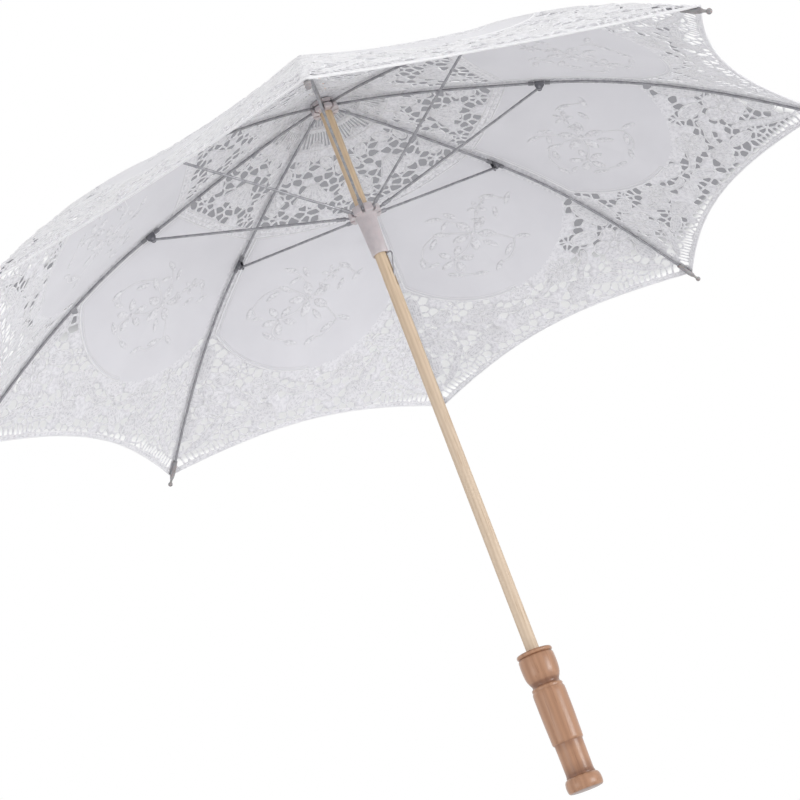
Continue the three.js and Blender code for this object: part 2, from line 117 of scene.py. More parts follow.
def calc(tree, operation, *values, clamp=False):
    sockets = {f"i{n}": value for n, value in enumerate(values)}
    return node(tree, "Math", {"operation": operation, "use_clamp": clamp}, **sockets).outputs[0]


def noise(tree, where, scale, detail, roughness=0.5):
    sockets = {"Vector": where, "Scale": scale, "Detail": detail, "Roughness": roughness}
    return node(tree, "TexNoise", None, **sockets).outputs[0]


sky = bpy.data.worlds.new("studio_sky")
bpy.context.scene.world = sky
sky.use_nodes = True
sky_tree = sky.node_tree
sky_tree.nodes.clear()
sky_way = node(sky_tree, "TexCoord").outputs["Generated"]


def sums(operation, first, second=0.0):
    return calc(sky_tree, operation, first, second)


way = node(sky_tree, "SeparateXYZ", None, Vector=sky_way).outputs
# Painted shade: grey in the sky where the camera sees it behind the cover, through the lace holes.
behind_cover = 0.0
for level, rib_reach, sag in PAINTED_SHADE_ROUNDS:
    reach = sums("DIVIDE", level - EYE.z, sums("MAXIMUM", way["Z"], 0.02))
    painted_shade_x = sums("ADD", sums("MULTIPLY", way["X"], reach), EYE.x)
    painted_shade_y = sums("ADD", sums("MULTIPLY", way["Y"], reach), EYE.y)
    squares = sums("ADD", sums("MULTIPLY", painted_shade_x, painted_shade_x), sums("MULTIPLY", painted_shade_y, painted_shade_y))
    from_axis = sums("SQRT", squares)
    turned = sums("PINGPONG", sums("ARCTAN2", painted_shade_y, painted_shade_x), math.pi / PAINTED_SHADE_ARMS)
    off_rib = sums("DIVIDE", turned, math.pi / PAINTED_SHADE_ARMS)
    bow = sums("SUBTRACT", sums("MULTIPLY", off_rib, 2.0), sums("MULTIPLY", off_rib, off_rib))
    hem_reach = sums("MULTIPLY", rib_reach, sums("SUBTRACT", 1.0, sums("MULTIPLY", bow, sag)))
    inside = spread(sky_tree, sums("SUBTRACT", hem_reach, from_axis), 0.0, PAINTED_SHADE_EDGE)
    behind_cover = sums("MAXIMUM", behind_cover, inside)
behind_cover = sums("MULTIPLY", behind_cover, sums("GREATER_THAN", way["Z"], 0.1))
tilted = sums("ADD", way["Z"], sums("MULTIPLY", way["X"], PAINTED_SHADE_TILT))
depth = spread(sky_tree, tilted, PAINTED_SHADE_LOW, PAINTED_SHADE_HIGH, PALE_SHARE, 1.0)
painted_shade_share = sums("MULTIPLY", behind_cover, depth)
# The painted shade's grey is mixed into the white sky here.
sky_colour = mixed(sky_tree, painted_shade_share, (1.0, 1.0, 1.0, 1), (0.31, 0.31, 0.33, 1))
sky_light = node(sky_tree, "Background", None, Color=sky_colour, Strength=1.0)
node(sky_tree, "OutputWorld", None, Surface=sky_light.outputs[0])

floor_mesh = bpy.data.meshes.new("floor")
floor_signs = [(-1, -1), (1, -1), (1, 1), (-1, 1)]
floor_corners = [(x * FLOOR_HALF, y * FLOOR_HALF, FLOOR_Z) for x, y in floor_signs]
floor_mesh.from_pydata(floor_corners, [], [(0, 1, 2, 3)])
floor = bpy.data.objects.new("floor", floor_mesh)
bpy.context.collection.objects.link(floor)
floor_paint = bpy.data.materials.new("pale_floor")
floor_paint.use_nodes = True
floor_shader = floor_paint.node_tree.nodes["Principled BSDF"]
floor_shader.inputs["Base Color"].default_value = (0.86, 0.86, 0.87, 1)
floor_shader.inputs["Roughness"].default_value = 0.9
floor_mesh.materials.append(floor_paint)

for lamp_name, place, size, power in [
    ("front_lamp", (-1.7, -1.7, -0.1), 1.2, 7),
    ("top_lamp", (0.8, -0.4, 2.6), 1.8, 4),
    ("side_lamp", (2.2, -1.2, -0.2), 1.2, 34),
]:
    lamp = bpy.data.objects.new(lamp_name, bpy.data.lights.new(lamp_name, "AREA"))
    lamp.data.size = size
    lamp.data.energy = power
    lamp.location = place
    aim = Vector((0, 0, 0.45)) - lamp.location
    lamp.rotation_mode = "QUATERNION"
    lamp.rotation_quaternion = aim.to_track_quat("-Z", "Y")
    bpy.context.collection.objects.link(lamp)

# ---- Shaft ----
# A pale birch dowel, sanded and left plain. It is glued into the handle, and a narrow slot is
# milled in it for the catch.
MM = 0.001
shaft_low, shaft_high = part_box("shaft")
SHAFT_R = (shaft_high.x - shaft_low.x) / 2
CATCH_TURN = math.radians(-22.5)
SLOT_WIDE, SLOT_FLOOR, SLOT_TOP, SLOT_LENGTH = 1.9 * MM, 3.8 * MM, 459.65 * MM, 32.3 * MM


def object_from(bm, name, sharp=35):
    bmesh.ops.remove_doubles(bm, verts=bm.verts, dist=1e-7)
    bmesh.ops.recalc_face_normals(bm, faces=bm.faces)
    for face in bm.faces:
        face.smooth = True
    for edge in bm.edges:
        if len(edge.link_faces) == 2 and edge.calc_face_angle(0) > math.radians(sharp):
            edge.smooth = False
    mesh = bpy.data.meshes.new(name)
    bm.to_mesh(mesh)
    bm.free()
    made = bpy.data.objects.new(name, mesh)
    bpy.context.collection.objects.link(made)
    return made


def lathe(bm, outline, sides=72, place=Matrix()):
    """Turns an outline of (radius, height) about Z. Points on the axis close it."""
    rings = []
    for radius, height in outline:
        if radius < 1e-7:
            rings.append([bm.verts.new(place @ Vector((0, 0, height)))])
            continue
        rings.append([
            bm.verts.new(place @ Vector((
                radius * math.cos(2 * math.pi * n / sides),
                radius * math.sin(2 * math.pi * n / sides),
                height,
            )))
            for n in range(sides)
        ])
    for low, high in zip(rings, rings[1:]):
        for n in range(sides):
            after = (n + 1) % sides
            if len(low) == 1 and len(high) == 1:
                continue
            if len(low) == 1:
                bm.faces.new((low[0], high[n], high[after]))
            elif len(high) == 1:
                bm.faces.new((low[n], low[after], high[0]))
            else:
                bm.faces.new((low[n], low[after], high[after], high[n]))


def finished(piece, finish, node_name, body):
    piece.data.materials.clear()
    piece.data.materials.append(finish)
    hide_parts(node_name)
    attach(piece, body)


def apply_all(piece):
    bpy.context.view_layer.update()
    seen = piece.evaluated_get(bpy.context.evaluated_depsgraph_get())
    mesh = bpy.data.meshes.new_from_object(seen)
    piece.modifiers.clear()
    piece.data = mesh


def cut_by(piece, tools):
    for tool in tools:
        modifier = piece.modifiers.new("cut", "BOOLEAN")
        modifier.operation = "DIFFERENCE"
        modifier.solver = "EXACT"
        modifier.object = tool
    apply_all(piece)
    for tool in tools:
        bpy.data.objects.remove(tool)


def soften(piece, width, segments=2):
    bevel = piece.modifiers.new("soften", "BEVEL")
    bevel.width = width
    bevel.segments = segments
    bevel.limit_method = "ANGLE"
    bevel.angle_limit = math.radians(35)
    bevel.harden_normals = True
    apply_all(piece)


def block(size, place):
    bm = bmesh.new()
    bmesh.ops.create_cube(bm, size=1, matrix=place @ Matrix.Diagonal((*size, 1)))
    return object_from(bm, "block")


def new_finish(name):
    material = bpy.data.materials.new(name)
    material.use_nodes = True
    tree = material.node_tree
    return material, tree, tree.nodes["Principled BSDF"]


def bump_from(tree, height, distance, strength=1.0):
    made = node(tree, "Bump", None, Height=height, Distance=distance, Strength=strength)
    return made.outputs["Normal"]


def group_of(name, inputs, outputs):
    tree = bpy.data.node_groups.new(name, "ShaderNodeTree")
    for label, kind, value in inputs:
        socket = tree.interface.new_socket(label, in_out="INPUT", socket_type=kind)
        socket.default_value = value
    for label, kind in outputs:
        tree.interface.new_socket(label, in_out="OUTPUT", socket_type=kind)
    return tree, tree.nodes.new("NodeGroupInput").outputs, tree.nodes.new("NodeGroupOutput").inputs


def placed(tree, group, **sockets):
    made = node(tree, "Group", {"node_tree": group})
    for name, value in sockets.items():
        made.inputs[name.replace("_", " ")].default_value = value
    return made.outputs


# Long-grained wood: growth bands, fine fibres and short dark pores, all stretched along Z.
grain, given, result = group_of(
    "wood_grain",
    [
        ("Light", "NodeSocketColor", (1, 1, 1, 1)), ("Dark", "NodeSocketColor", (0, 0, 0, 1)),
        ("Bands", "NodeSocketFloat", 120.0), ("Fibres", "NodeSocketFloat", 700.0),
    ],
    [("Colour", "NodeSocketColor"), ("Roughness", "NodeSocketFloat"), ("Height", "NodeSocketFloat")],
)
here = node(grain, "TexCoord").outputs["Object"]
along = node(grain, "Mapping", None, Vector=here, Scale=(1, 1, 0.045)).outputs[0]
band_waves = node(
    grain, "TexWave", {"bands_direction": "X", "wave_profile": "SIN"}, Vector=along, Scale=given["Bands"],
    Distortion=5.0, Detail=3.0, Detail_Scale=0.6,
).outputs["Fac"]
fibres = noise(grain, along, given["Fibres"], 5.0, 0.6)
tone = noise(grain, along, 60.0, 2.0)
pores = spread(grain, fibres, 0.60, 0.68)
band_share = calc(grain, "MULTIPLY", band_waves, 0.34)
fibre_share = calc(grain, "MULTIPLY", fibres, 0.55)
tone_share = calc(grain, "MULTIPLY_ADD", tone, 0.7, -0.3)
total = calc(grain, "ADD", band_share, fibre_share)
total = calc(grain, "ADD", total, tone_share, clamp=True)
wood_colour = mixed(grain, total, given["Light"], given["Dark"])
pore_colour = tinted(grain, pores, wood_colour, (0.80, 0.74, 0.68, 1))
grain.links.new(pore_colour, result["Colour"])
grain.links.new(spread(grain, fibres, 0.3, 0.7, 0.46, 0.62), result["Roughness"])
grain.links.new(fibres, result["Height"])

birch, tree, shader = new_finish("birch")
wood = placed(tree, grain, Light=(0.69, 0.56, 0.43, 1), Dark=(0.48, 0.36, 0.25, 1), Bands=95.0, Fibres=900.0)
here = node(tree, "TexCoord").outputs["Object"]
height = node(tree, "SeparateXYZ", None, Vector=here).outputs["Z"]
yellowed = spread(tree, height, 0.30, 0.60, 0.0, 0.75)
warm = tinted(tree, yellowed, wood["Colour"], (1.05, 0.98, 0.80, 1))
tree.links.new(warm, shader.inputs["Base Color"])
tree.links.new(wood["Roughness"], shader.inputs["Roughness"])
tree.links.new(bump_from(tree, wood["Height"], 0.00008), shader.inputs["Normal"])

bm = bmesh.new()
CHAMFER = 0.4 * MM
lathe(bm, [
    (0, shaft_low.z), (SHAFT_R - CHAMFER, shaft_low.z), (SHAFT_R, shaft_low.z + CHAMFER),
    *[(SHAFT_R, shaft_low.z + (shaft_high.z - shaft_low.z) * n / 12) for n in range(1, 12)],
    (SHAFT_R, shaft_high.z - CHAMFER), (SHAFT_R - CHAMFER, shaft_high.z), (0, shaft_high.z),
], 96)
shaft = object_from(bm, "birch_shaft")
slot_deep = SLOT_FLOOR + SHAFT_R + 1 * MM
slot_place = Matrix.Rotation(CATCH_TURN, 4, "Z") @ Matrix.Translation((
    slot_deep / 2 - SLOT_FLOOR, 0, SLOT_TOP - SLOT_LENGTH / 2))
cut_by(shaft, [block((slot_deep, SLOT_WIDE, SLOT_LENGTH), slot_place)])
soften(shaft, 0.12 * MM)
finished(shaft, birch, "shaft", "stick")

# ---- Handle and ferrule ----
# Both are turned on a lathe from the same close-grained wood and dipped in orange varnish, and their
# grooves are darkened with painted shade. Each has a drilled socket that is glued over an end of the shaft.
handle_low, handle_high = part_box("handle")
ferrule_low, ferrule_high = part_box("ferrule")
HANDLE_OUTLINE = [  # (radius, height) in millimetres
    (0, 72), (5.55, 72), (5.55, 109.4), (6.1, 110), (13.1, 110), (13.7, 109.7), (14.1, 109),
    (14.2, 108.2), (14.0, 107.5), (13.5, 107.0), (13.0, 106.7), (13.1, 106.3), (13.6, 105.9),
    (14.0, 105), (14.2, 101), (14.2, 98), (14.1, 95), (13.8, 92), (13.2, 89.4), (12.3, 87.2),
    (11.5, 85.8), (10.9, 84.6), (10.8, 83.6), (11.0, 82.8), (11.5, 82.3), (12.1, 81.8), (12.3, 81.0),
    (12.1, 80.1), (12.0, 79.7), (12.3, 79.2), (12.8, 78), (12.9, 75), (12.85, 66), (12.75, 57),
    (12.5, 48), (12.3, 40), (12.2, 38.4), (11.8, 37.6), (11.2, 37.2), (11.1, 36.6), (11.05, 30),
    (10.95, 22), (10.9, 15), (11.0, 12.8), (11.4, 11.6), (11.3, 11.2), (11.8, 10.8), (12.9, 10.1),
    (13.6, 8.8), (14.1, 6.6), (14.2, 4.6), (14.0, 2.4), (13.6, 1.0), (12.9, 0.25), (11.8, 0), (0, 0),
]
FERRULE_OUTLINE = [  # (radius, height over the washer) in millimetres
    (0, 16), (5.55, 16), (5.55, 0.3), (5.9, 0), (8.1, 0), (8.5, 0.4), (8.6, 1.2), (8.5, 2.2), (8.1, 2.9),
    (7.5, 3.3), (7.5, 3.8), (7.7, 4.6), (7.8, 7), (7.7, 10), (7.35, 14), (6.6, 19), (5.6, 24), (4.6, 28.5),
    (4.0, 31), (3.6, 33), (3.4, 35), (2.9, 36.1), (2.1, 36.8), (1.0, 37), (0, 37),
]
varnished, tree, shader = new_finish("varnished_wood")
wood = placed(
    tree, grain, Light=(0.44, 0.235, 0.135, 1), Dark=(0.29, 0.14, 0.072, 1), Bands=60.0, Fibres=620.0,
)
painted_groove_shade = node(tree, "Attribute", {"attribute_name": "painted_groove_shade"}).outputs["Fac"]
# Painted shade: the wood colour is darkened in the grooves by their depth.
groove_shaded = tinted(tree, painted_groove_shade, wood["Colour"], (0.52, 0.42, 0.36, 1))
tree.links.new(groove_shaded, shader.inputs["Base Color"])
here = node(tree, "TexCoord").outputs["Object"]
smears = noise(tree, here, 90.0, 4.0)
tree.links.new(spread(tree, smears, 0.3, 0.7, 0.26, 0.42), shader.inputs["Roughness"])
tree.links.new(bump_from(tree, wood["Height"], 0.00005, 0.7), shader.inputs["Normal"])
shader.inputs["Coat Weight"].default_value = 0.35
shader.inputs["Coat Roughness"].default_value = 0.22


# How the painted shade in the grooves is measured: levels, smoothing reach and full depth.
GROOVE_SHADE_LEVELS, GROOVE_SHADE_REACH, GROOVE_SHADE_DEPTH = 400, 25, 0.9


def turned_wood(name, outline, foot, node_name):
    """Turns a piece of wood and marks its grooves with painted shade, darker the deeper they sink."""
    bm = bmesh.new()
    lathe(bm, [(r * MM, foot + h * MM) for r, h in outline], 96)
    piece = object_from(bm, name, 50)
    heights = np.array([h for _, h in outline[3:]]) * MM + foot
    radii = np.array([r for r, _ in outline[3:]])
    order = np.argsort(heights)
    level = np.linspace(heights.min(), heights.max(), GROOVE_SHADE_LEVELS)
    line = np.interp(level, heights[order], radii[order])
    window = 2 * GROOVE_SHADE_REACH + 1
    around = np.convolve(np.pad(line, GROOVE_SHADE_REACH, "edge"), np.ones(window) / window, "valid")
    depth = np.clip((around - line) / GROOVE_SHADE_DEPTH, 0, 1)
    z = np.array([v.co.z for v in piece.data.vertices])
    mask = piece.data.attributes.new("painted_groove_shade", "FLOAT", "POINT")
    mask.data.foreach_set("value", np.interp(z, level, depth).astype(np.float32))
    finished(piece, varnished, node_name, "stick")


turned_wood("turned_handle", HANDLE_OUTLINE, handle_low.z, "handle")
turned_wood("turned_ferrule", FERRULE_OUTLINE, ferrule_low.z, "ferrule")

# ---- Crown: notch, pin, tie wire and washer ----
# The notch is a moulded ring of milky plastic with eight slots, pinned to the shaft. The rib
# eyes are threaded on a twisted tie wire in its groove, and a thin steel washer presses the
# cover's centre on top.
CROWN_Z = (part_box("crown_tie_wire")[0].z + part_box("crown_tie_wire")[1].z) / 2
PIVOT_R = 9 * MM
NOTCH_R, BORE_R = 11.6 * MM, 5.55 * MM
CROWN_WIRE_R = 0.45 * MM
ARMS = 8

# Drawn and plated steel: fine scratches, dull patches and a few dark specks.
steel_skin, given, result = group_of(
    "steel_skin",
    [("Bright", "NodeSocketColor", (1, 1, 1, 1)), ("Dull", "NodeSocketColor", (0, 0, 0, 1)),
     ("Smooth", "NodeSocketFloat", 0.25), ("Rough", "NodeSocketFloat", 0.45)],
    [("Colour", "NodeSocketColor"), ("Roughness", "NodeSocketFloat"), ("Height", "NodeSocketFloat")],
)
here = node(steel_skin, "TexCoord").outputs["Object"]
patches = noise(steel_skin, here, 160.0, 6.0, 0.65)
scratches = noise(steel_skin, here, 1500.0, 3.0)
specks = spread(steel_skin, scratches, 0.66, 0.72)
patch_share = spread(steel_skin, patches, 0.38, 0.62)
skin = mixed(steel_skin, patch_share, given["Bright"], given["Dull"])
skin = tinted(steel_skin, specks, skin, (0.45, 0.42, 0.40, 1))
rough = spread(steel_skin, patches, 0.35, 0.65, given["Smooth"], given["Rough"])
steel_skin.links.new(skin, result["Colour"])
steel_skin.links.new(rough, result["Roughness"])
steel_skin.links.new(scratches, result["Height"])


def steel(name, bright, dull, smooth, rough):
    material, tree, shader = new_finish(name)
    skin = placed(tree, steel_skin, Bright=bright, Dull=dull, Smooth=smooth, Rough=rough)
    tree.links.new(skin["Colour"], shader.inputs["Base Color"])
    tree.links.new(skin["Roughness"], shader.inputs["Roughness"])
    tree.links.new(bump_from(tree, skin["Height"], 0.00002), shader.inputs["Normal"])
    shader.inputs["Metallic"].default_value = 1.0
    return material


plated = steel("plated_steel", (0.40, 0.40, 0.42, 1), (0.28, 0.28, 0.30, 1), 0.26, 0.44)
dull_plated = steel("dulled_plated_steel", (0.30, 0.30, 0.32, 1), (0.20, 0.20, 0.22, 1), 0.42, 0.60)
rib_steel = steel("spring_steel", (0.40, 0.40, 0.42, 1), (0.28, 0.28, 0.30, 1), 0.36, 0.50)

milky, tree, shader = new_finish("milky_plastic")
here = node(tree, "TexCoord").outputs["Object"]
cloud = noise(tree, here, 220.0, 3.0)
stretched = node(tree, "Mapping", None, Vector=here, Scale=(1, 1, 0.2)).outputs[0]
flow = noise(tree, stretched, 700.0, 3.0)
tree.links.new(mixed(tree, spread(tree, cloud, 0.3, 0.7), (0.56, 0.505, 0.51, 1), (0.49, 0.45, 0.46, 1)),
               shader.inputs["Base Color"])
tree.links.new(spread(tree, flow, 0.3, 0.7, 0.28, 0.44), shader.inputs["Roughness"])
tree.links.new(bump_from(tree, flow, 0.00004), shader.inputs["Normal"])
shader.inputs["Subsurface Weight"].default_value = 0.35
shader.inputs["Subsurface Radius"].default_value = (1.0, 0.7, 0.7)
shader.inputs["Subsurface Scale"].default_value = 0.003


def slot_blocks(wide, inner, outer, low, high):
    return [
        block((outer - inner, wide, high - low), Matrix.Rotation(2 * math.pi * n / ARMS, 4, "Z")
              @ Matrix.Translation(((inner + outer) / 2, 0, (low + high) / 2)))
        for n in range(ARMS)
    ]


def sweep(bm, points, widths, sides=12, closed=False, flat=None):
    """A closed wire through points. widths gives its radius at each, and flat its half
    thickness across Y where the wire is pressed flat."""
    points = [Vector(p) for p in points]
    count = len(points)
    rings = []
    normal = None
    for n, point in enumerate(points):
        before = points[n - 1] if n or closed else points[0]
        after = points[(n + 1) % count] if n < count - 1 or closed else points[-1]
        way = (after - before).normalized()
        if normal is None:
            normal = way.orthogonal().normalized()
            if abs(way.y) < 0.9:
                normal = way.cross(Vector((0, 1, 0))).normalized()
        normal = (normal - way * normal.dot(way)).normalized()
        side = way.cross(normal)
        radius = widths[n] if hasattr(widths, "__len__") else widths
        thin = radius if flat is None else flat[n]
        rings.append([
            bm.verts.new(point + normal * radius * math.cos(2 * math.pi * k / sides)
                         + side * thin * math.sin(2 * math.pi * k / sides))
            for k in range(sides)
        ])
    pairs = list(zip(rings, rings[1:] + ([rings[0]] if closed else [])))
    for low, high in pairs:
        for k in range(sides):
            after = (k + 1) % sides
            bm.faces.new((low[k], low[after], high[after], high[k]))
    if not closed:
        bm.faces.new(rings[0][::-1])
        bm.faces.new(rings[-1])


def smooth_line(knots, count):
    """Evenly spaced points on a Catmull-Rom line through the knots."""
    knots = [Vector(k) for k in knots]
    padded = [2 * knots[0] - knots[1], *knots, 2 * knots[-1] - knots[-2]]
    fine = []
    for n in range(len(knots) - 1):
        a, b, c, d = padded[n:n + 4]
        for step in range(16):
            t = step / 16
            fine.append(0.5 * (2 * b + (c - a) * t + (2 * a - 5 * b + 4 * c - d) * t * t
                               + (3 * b - a - 3 * c + d) * t ** 3))
    fine.append(knots[-1])
    run = np.r_[0, np.cumsum([(q - p).length for p, q in zip(fine, fine[1:])])]
    place = np.array([tuple(p) for p in fine])
    even = np.linspace(0, run[-1], count)
    return [Vector([float(np.interp(s, run, place[:, axis])) for axis in range(3)]) for s in even]


notch_low, notch_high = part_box("crown_notch")
groove = 0.75 * MM
bm = bmesh.new()
lathe(bm, [
    (BORE_R, notch_low.z), (11.0 * MM, notch_low.z), (NOTCH_R, notch_low.z + 0.6 * MM),
    (NOTCH_R, CROWN_Z - groove), (8.25 * MM, CROWN_Z - groove), (8.25 * MM, CROWN_Z + groove),
    (NOTCH_R, CROWN_Z + groove),
    (NOTCH_R, notch_high.z - 0.8 * MM), (10.8 * MM, notch_high.z), (BORE_R, notch_high.z),
    (BORE_R, notch_low.z),
], 80)
notch = object_from(bm, "notch_ring")
cut_by(notch, slot_blocks(1.9 * MM, 6.7 * MM, 14 * MM, notch_low.z - 1 * MM, CROWN_Z + 2.6 * MM))
soften(notch, 0.18 * MM)
finished(notch, milky, "crown_notch", "stick")


def tie_wire(name, ring_r, wire_r, z, start, body, node_name):
    """A ring of soft wire whose two ends are twisted together and laid against the ring."""
    ring = [(ring_r * math.cos(start + a), ring_r * math.sin(start + a), z)
            for a in np.linspace(0.03, 2 * math.pi - 0.03, 72)]
    bm = bmesh.new()
    sweep(bm, ring, wire_r, 10)
    for strand in (0, math.pi):
        twist = []
        for share in np.linspace(0, 1, 26):
            turn, swing = strand + share * 6 * math.pi, wire_r * 1.05
            middle = start + share * 0.42
            out = ring_r + wire_r * 2.2 * math.sin(math.pi * min(share * 1.4, 0.5)) + swing * math.cos(turn)
            level = z - wire_r * 1.5 * share + swing * math.sin(turn)
            twist.append((out * math.cos(middle), out * math.sin(middle), level))
        sweep(bm, twist, wire_r, 8)
    piece = object_from(bm, name)
    finished(piece, plated, node_name, body)


tie_wire("crown_wire_ring", PIVOT_R, CROWN_WIRE_R, CROWN_Z, math.radians(-80), "stick", "crown_tie_wire")

washer_low, washer_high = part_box("top_washer")
bm = bmesh.new()
lathe(bm, [
    (BORE_R, washer_low.z), (11.7 * MM, washer_low.z), (12 * MM, washer_low.z + 0.25 * MM),
    (11.8 * MM, washer_low.z + 0.6 * MM), (10.4 * MM, washer_low.z + 0.9 * MM),
    (9.4 * MM, washer_high.z - 0.1 * MM), (8.6 * MM, washer_high.z), (5.8 * MM, washer_high.z),
    (BORE_R, washer_high.z - 0.25 * MM),
    (BORE_R, washer_low.z),
], 80)
washer = object_from(bm, "pressed_washer")
finished(washer, plated, "top_washer", "stick")

pin_low, pin_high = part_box("crown_pin")
pin_way = Vector((math.cos(math.pi / ARMS), math.sin(math.pi / ARMS), 0))
pin_z = (pin_low.z + pin_high.z) / 2
bm = bmesh.new()
pin_half, pin_r = 11.2 * MM, 0.6 * MM
ends = [(-1, 0.55), (-0.985, 0.9), (-0.97, 1), (0.97, 1), (0.985, 0.9), (1, 0.55)]
sweep(bm, [pin_way * pin_half * s + Vector((0, 0, pin_z)) for s, _ in ends], [pin_r * w for _, w in ends], 16)
pin = object_from(bm, "notch_pin")
finished(pin, plated, "crown_pin", "stick")

# ---- Runner ----
# A moulded tube of the same milky plastic slides on the shaft. Its flange has eight slots for
# the stretchers, which are threaded on a tie wire in a groove.
RING_Z = (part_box("runner_tie_wire")[0].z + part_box("runner_tie_wire")[1].z) / 2
runner_low, runner_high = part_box("runner")
flange_low = RING_Z - 3.5 * MM
bm = bmesh.new()
lathe(bm, [
    (BORE_R, runner_low.z + 0.3 * MM), (5.8 * MM, runner_low.z), (6.6 * MM, runner_low.z),
    (6.9 * MM, runner_low.z + 0.4 * MM), (7.15 * MM, runner_low.z + 8 * MM),
    (7.6 * MM, runner_low.z + 20 * MM),
    (8.1 * MM, runner_low.z + 30 * MM), (8.3 * MM, flange_low - 3 * MM), (8.5 * MM, flange_low - 1.4 * MM),
    (9.2 * MM, flange_low - 0.4 * MM), (10.4 * MM, flange_low), (13.1 * MM, flange_low),
    (13.7 * MM, flange_low + 0.6 * MM), (13.7 * MM, runner_high.z - 0.5 * MM), (13.3 * MM, runner_high.z),
    (12.8 * MM, runner_high.z),
    (12.8 * MM, RING_Z - 0.8 * MM), (11.2 * MM, RING_Z - 0.8 * MM), (11.2 * MM, runner_high.z - 0.4 * MM),
    (10.8 * MM, runner_high.z), (6.0 * MM, runner_high.z), (BORE_R, runner_high.z - 0.4 * MM),
    (BORE_R, runner_low.z + 0.3 * MM),
], 80)
runner = object_from(bm, "runner_tube")
cut_by(runner, slot_blocks(2.8 * MM, 10 * MM, 16 * MM, flange_low - 1 * MM, runner_high.z + 1 * MM))
soften(runner, 0.2 * MM)
finished(runner, milky, "runner", "runner")
tie_wire("runner_wire_ring", 12 * MM, 0.5 * MM, RING_Z, math.radians(112), "runner", "runner_tie_wire")

# ---- Catch ----
# A hook bent from spring wire, sunk in the shaft's slot. The runner rests on its shelf, and a
# thumb presses it in to let the runner down.
catch_low, catch_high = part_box("catch_spring")
CATCH_WIRE_R = 0.65 * MM
shelf = catch_high.z - CATCH_WIRE_R
foot = shelf - 25 * MM
out = SHAFT_R + 4.55 * MM
catch_knots = [
    (2.5 * MM, shelf - 2.2 * MM), (SHAFT_R - 0.6 * MM, shelf - 1.0 * MM), (out - 2.4 * MM, shelf),
    (out - 0.9 * MM, shelf - 0.25 * MM), (out - 0.1 * MM, shelf - 1.4 * MM), (out, shelf - 3 * MM),
    (out - 1.6 * MM, shelf - 9 * MM), (SHAFT_R - 0.4 * MM, foot + 5.5 * MM), (2.6 * MM, foot + 1.4 * MM),
    (1.2 * MM, foot),
]
bm = bmesh.new()
sweep(bm, smooth_line([(r, 0, z) for r, z in catch_knots], 70), CATCH_WIRE_R, 14)
bmesh.ops.rotate(bm, verts=bm.verts, cent=(0, 0, 0), matrix=Matrix.Rotation(CATCH_TURN, 3, "Z"))
catch = object_from(bm, "catch_hook")
finished(catch, rib_steel, "catch_spring", "catch")

# ---- Ribs, clips, tips and stretchers ----
# Each rib is grey spring wire with a flattened eye. A folded steel clip with a rivet holds its
# stretcher, dark thread is wound on both sides of the clip, and a plastic tip holds the cover.
JOINT = Vector((173.8, 549.4)) * MM  # radius and height of the rib over the clip
TIP = Vector((373.3, 431.5)) * MM
PIVOT = Vector((PIVOT_R, CROWN_Z))
CROWN_SLOPE, JOINT_SLOPE, TIP_SLOPE = (math.radians(d) for d in (12, 19, 38))
RIB_R = STRETCHER_R = 1.1 * MM
TIP_STRAIGHT = 17.3 * MM


def fall(slope, length):
    return Vector((math.cos(slope), -math.sin(slope))) * length


def bent(start, end, leave, arrive, steps=60):
    third = (end - start).length / 3
    first, last = start + fall(leave, third), end - fall(arrive, third)
    line = []
    for t in np.linspace(0, 1, steps):
        u = 1 - t
        line.append(u ** 3 * start + 3 * u * u * t * first + 3 * u * t * t * last + t ** 3 * end)
    return line


tip_heel = TIP - fall(TIP_SLOPE, TIP_STRAIGHT)
rib_line = [PIVOT - fall(CROWN_SLOPE, 6 * MM)] + bent(PIVOT, JOINT, CROWN_SLOPE, JOINT_SLOPE)
rib_line += bent(JOINT, tip_heel, JOINT_SLOPE, TIP_SLOPE)[1:] + [TIP, TIP + fall(TIP_SLOPE, 6 * MM)]
rib_place = np.array([tuple(p) for p in rib_line])
rib_run = np.r_[0, np.cumsum(np.linalg.norm(np.diff(rib_place, axis=0), axis=1))] - 6 * MM
RIB_LENGTH = float(rib_run[-1]) - 6 * MM


def rib_at(length):
    return np.interp(length, rib_run, rib_place[:, 0]), np.interp(length, rib_run, rib_place[:, 1])


def slope_at(length):
    step = 0.5 * MM
    (ra, za), (rb, zb) = rib_at(length - step), rib_at(length + step)
    return np.arctan2(za - zb, rb - ra)


def arm_place(number):
    return Matrix.Rotation(2 * math.pi * (number - 1) / ARMS, 4, "Z")


def on_arms(mesh_object, node_name, body, finish):
    """Copies one arm's piece to all eight arms. A piece with no node name is extra detail."""
    mesh = mesh_object.data
    mesh.materials.append(finish)
    for number in range(1, ARMS + 1):
        piece = bpy.data.objects.new(f"{mesh_object.name}_{number}", mesh)
        bpy.context.collection.objects.link(piece)
        piece.matrix_world = arm_place(number)
        if node_name:
            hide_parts(f"{node_name}_{number}")
        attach(piece, f"{body}_{number}")
    bpy.data.objects.remove(mesh_object)


def eye(bm, centre, outer, hole, thick, sides=28):
    """A flat ring round a hole that runs along Y."""
    edge = min(0.2 * MM, thick / 4)
    place = Matrix.Translation(centre) @ Matrix.Rotation(math.pi / 2, 4, "X")
    half = thick / 2
    lathe(bm, [
        (hole, -half + edge), (hole + edge, -half), (outer - edge, -half), (outer, -half + edge),
        (outer, half - edge), (outer - edge, half), (hole + edge, half), (hole, half - edge),
        (hole, -half + edge),
    ], sides, place)


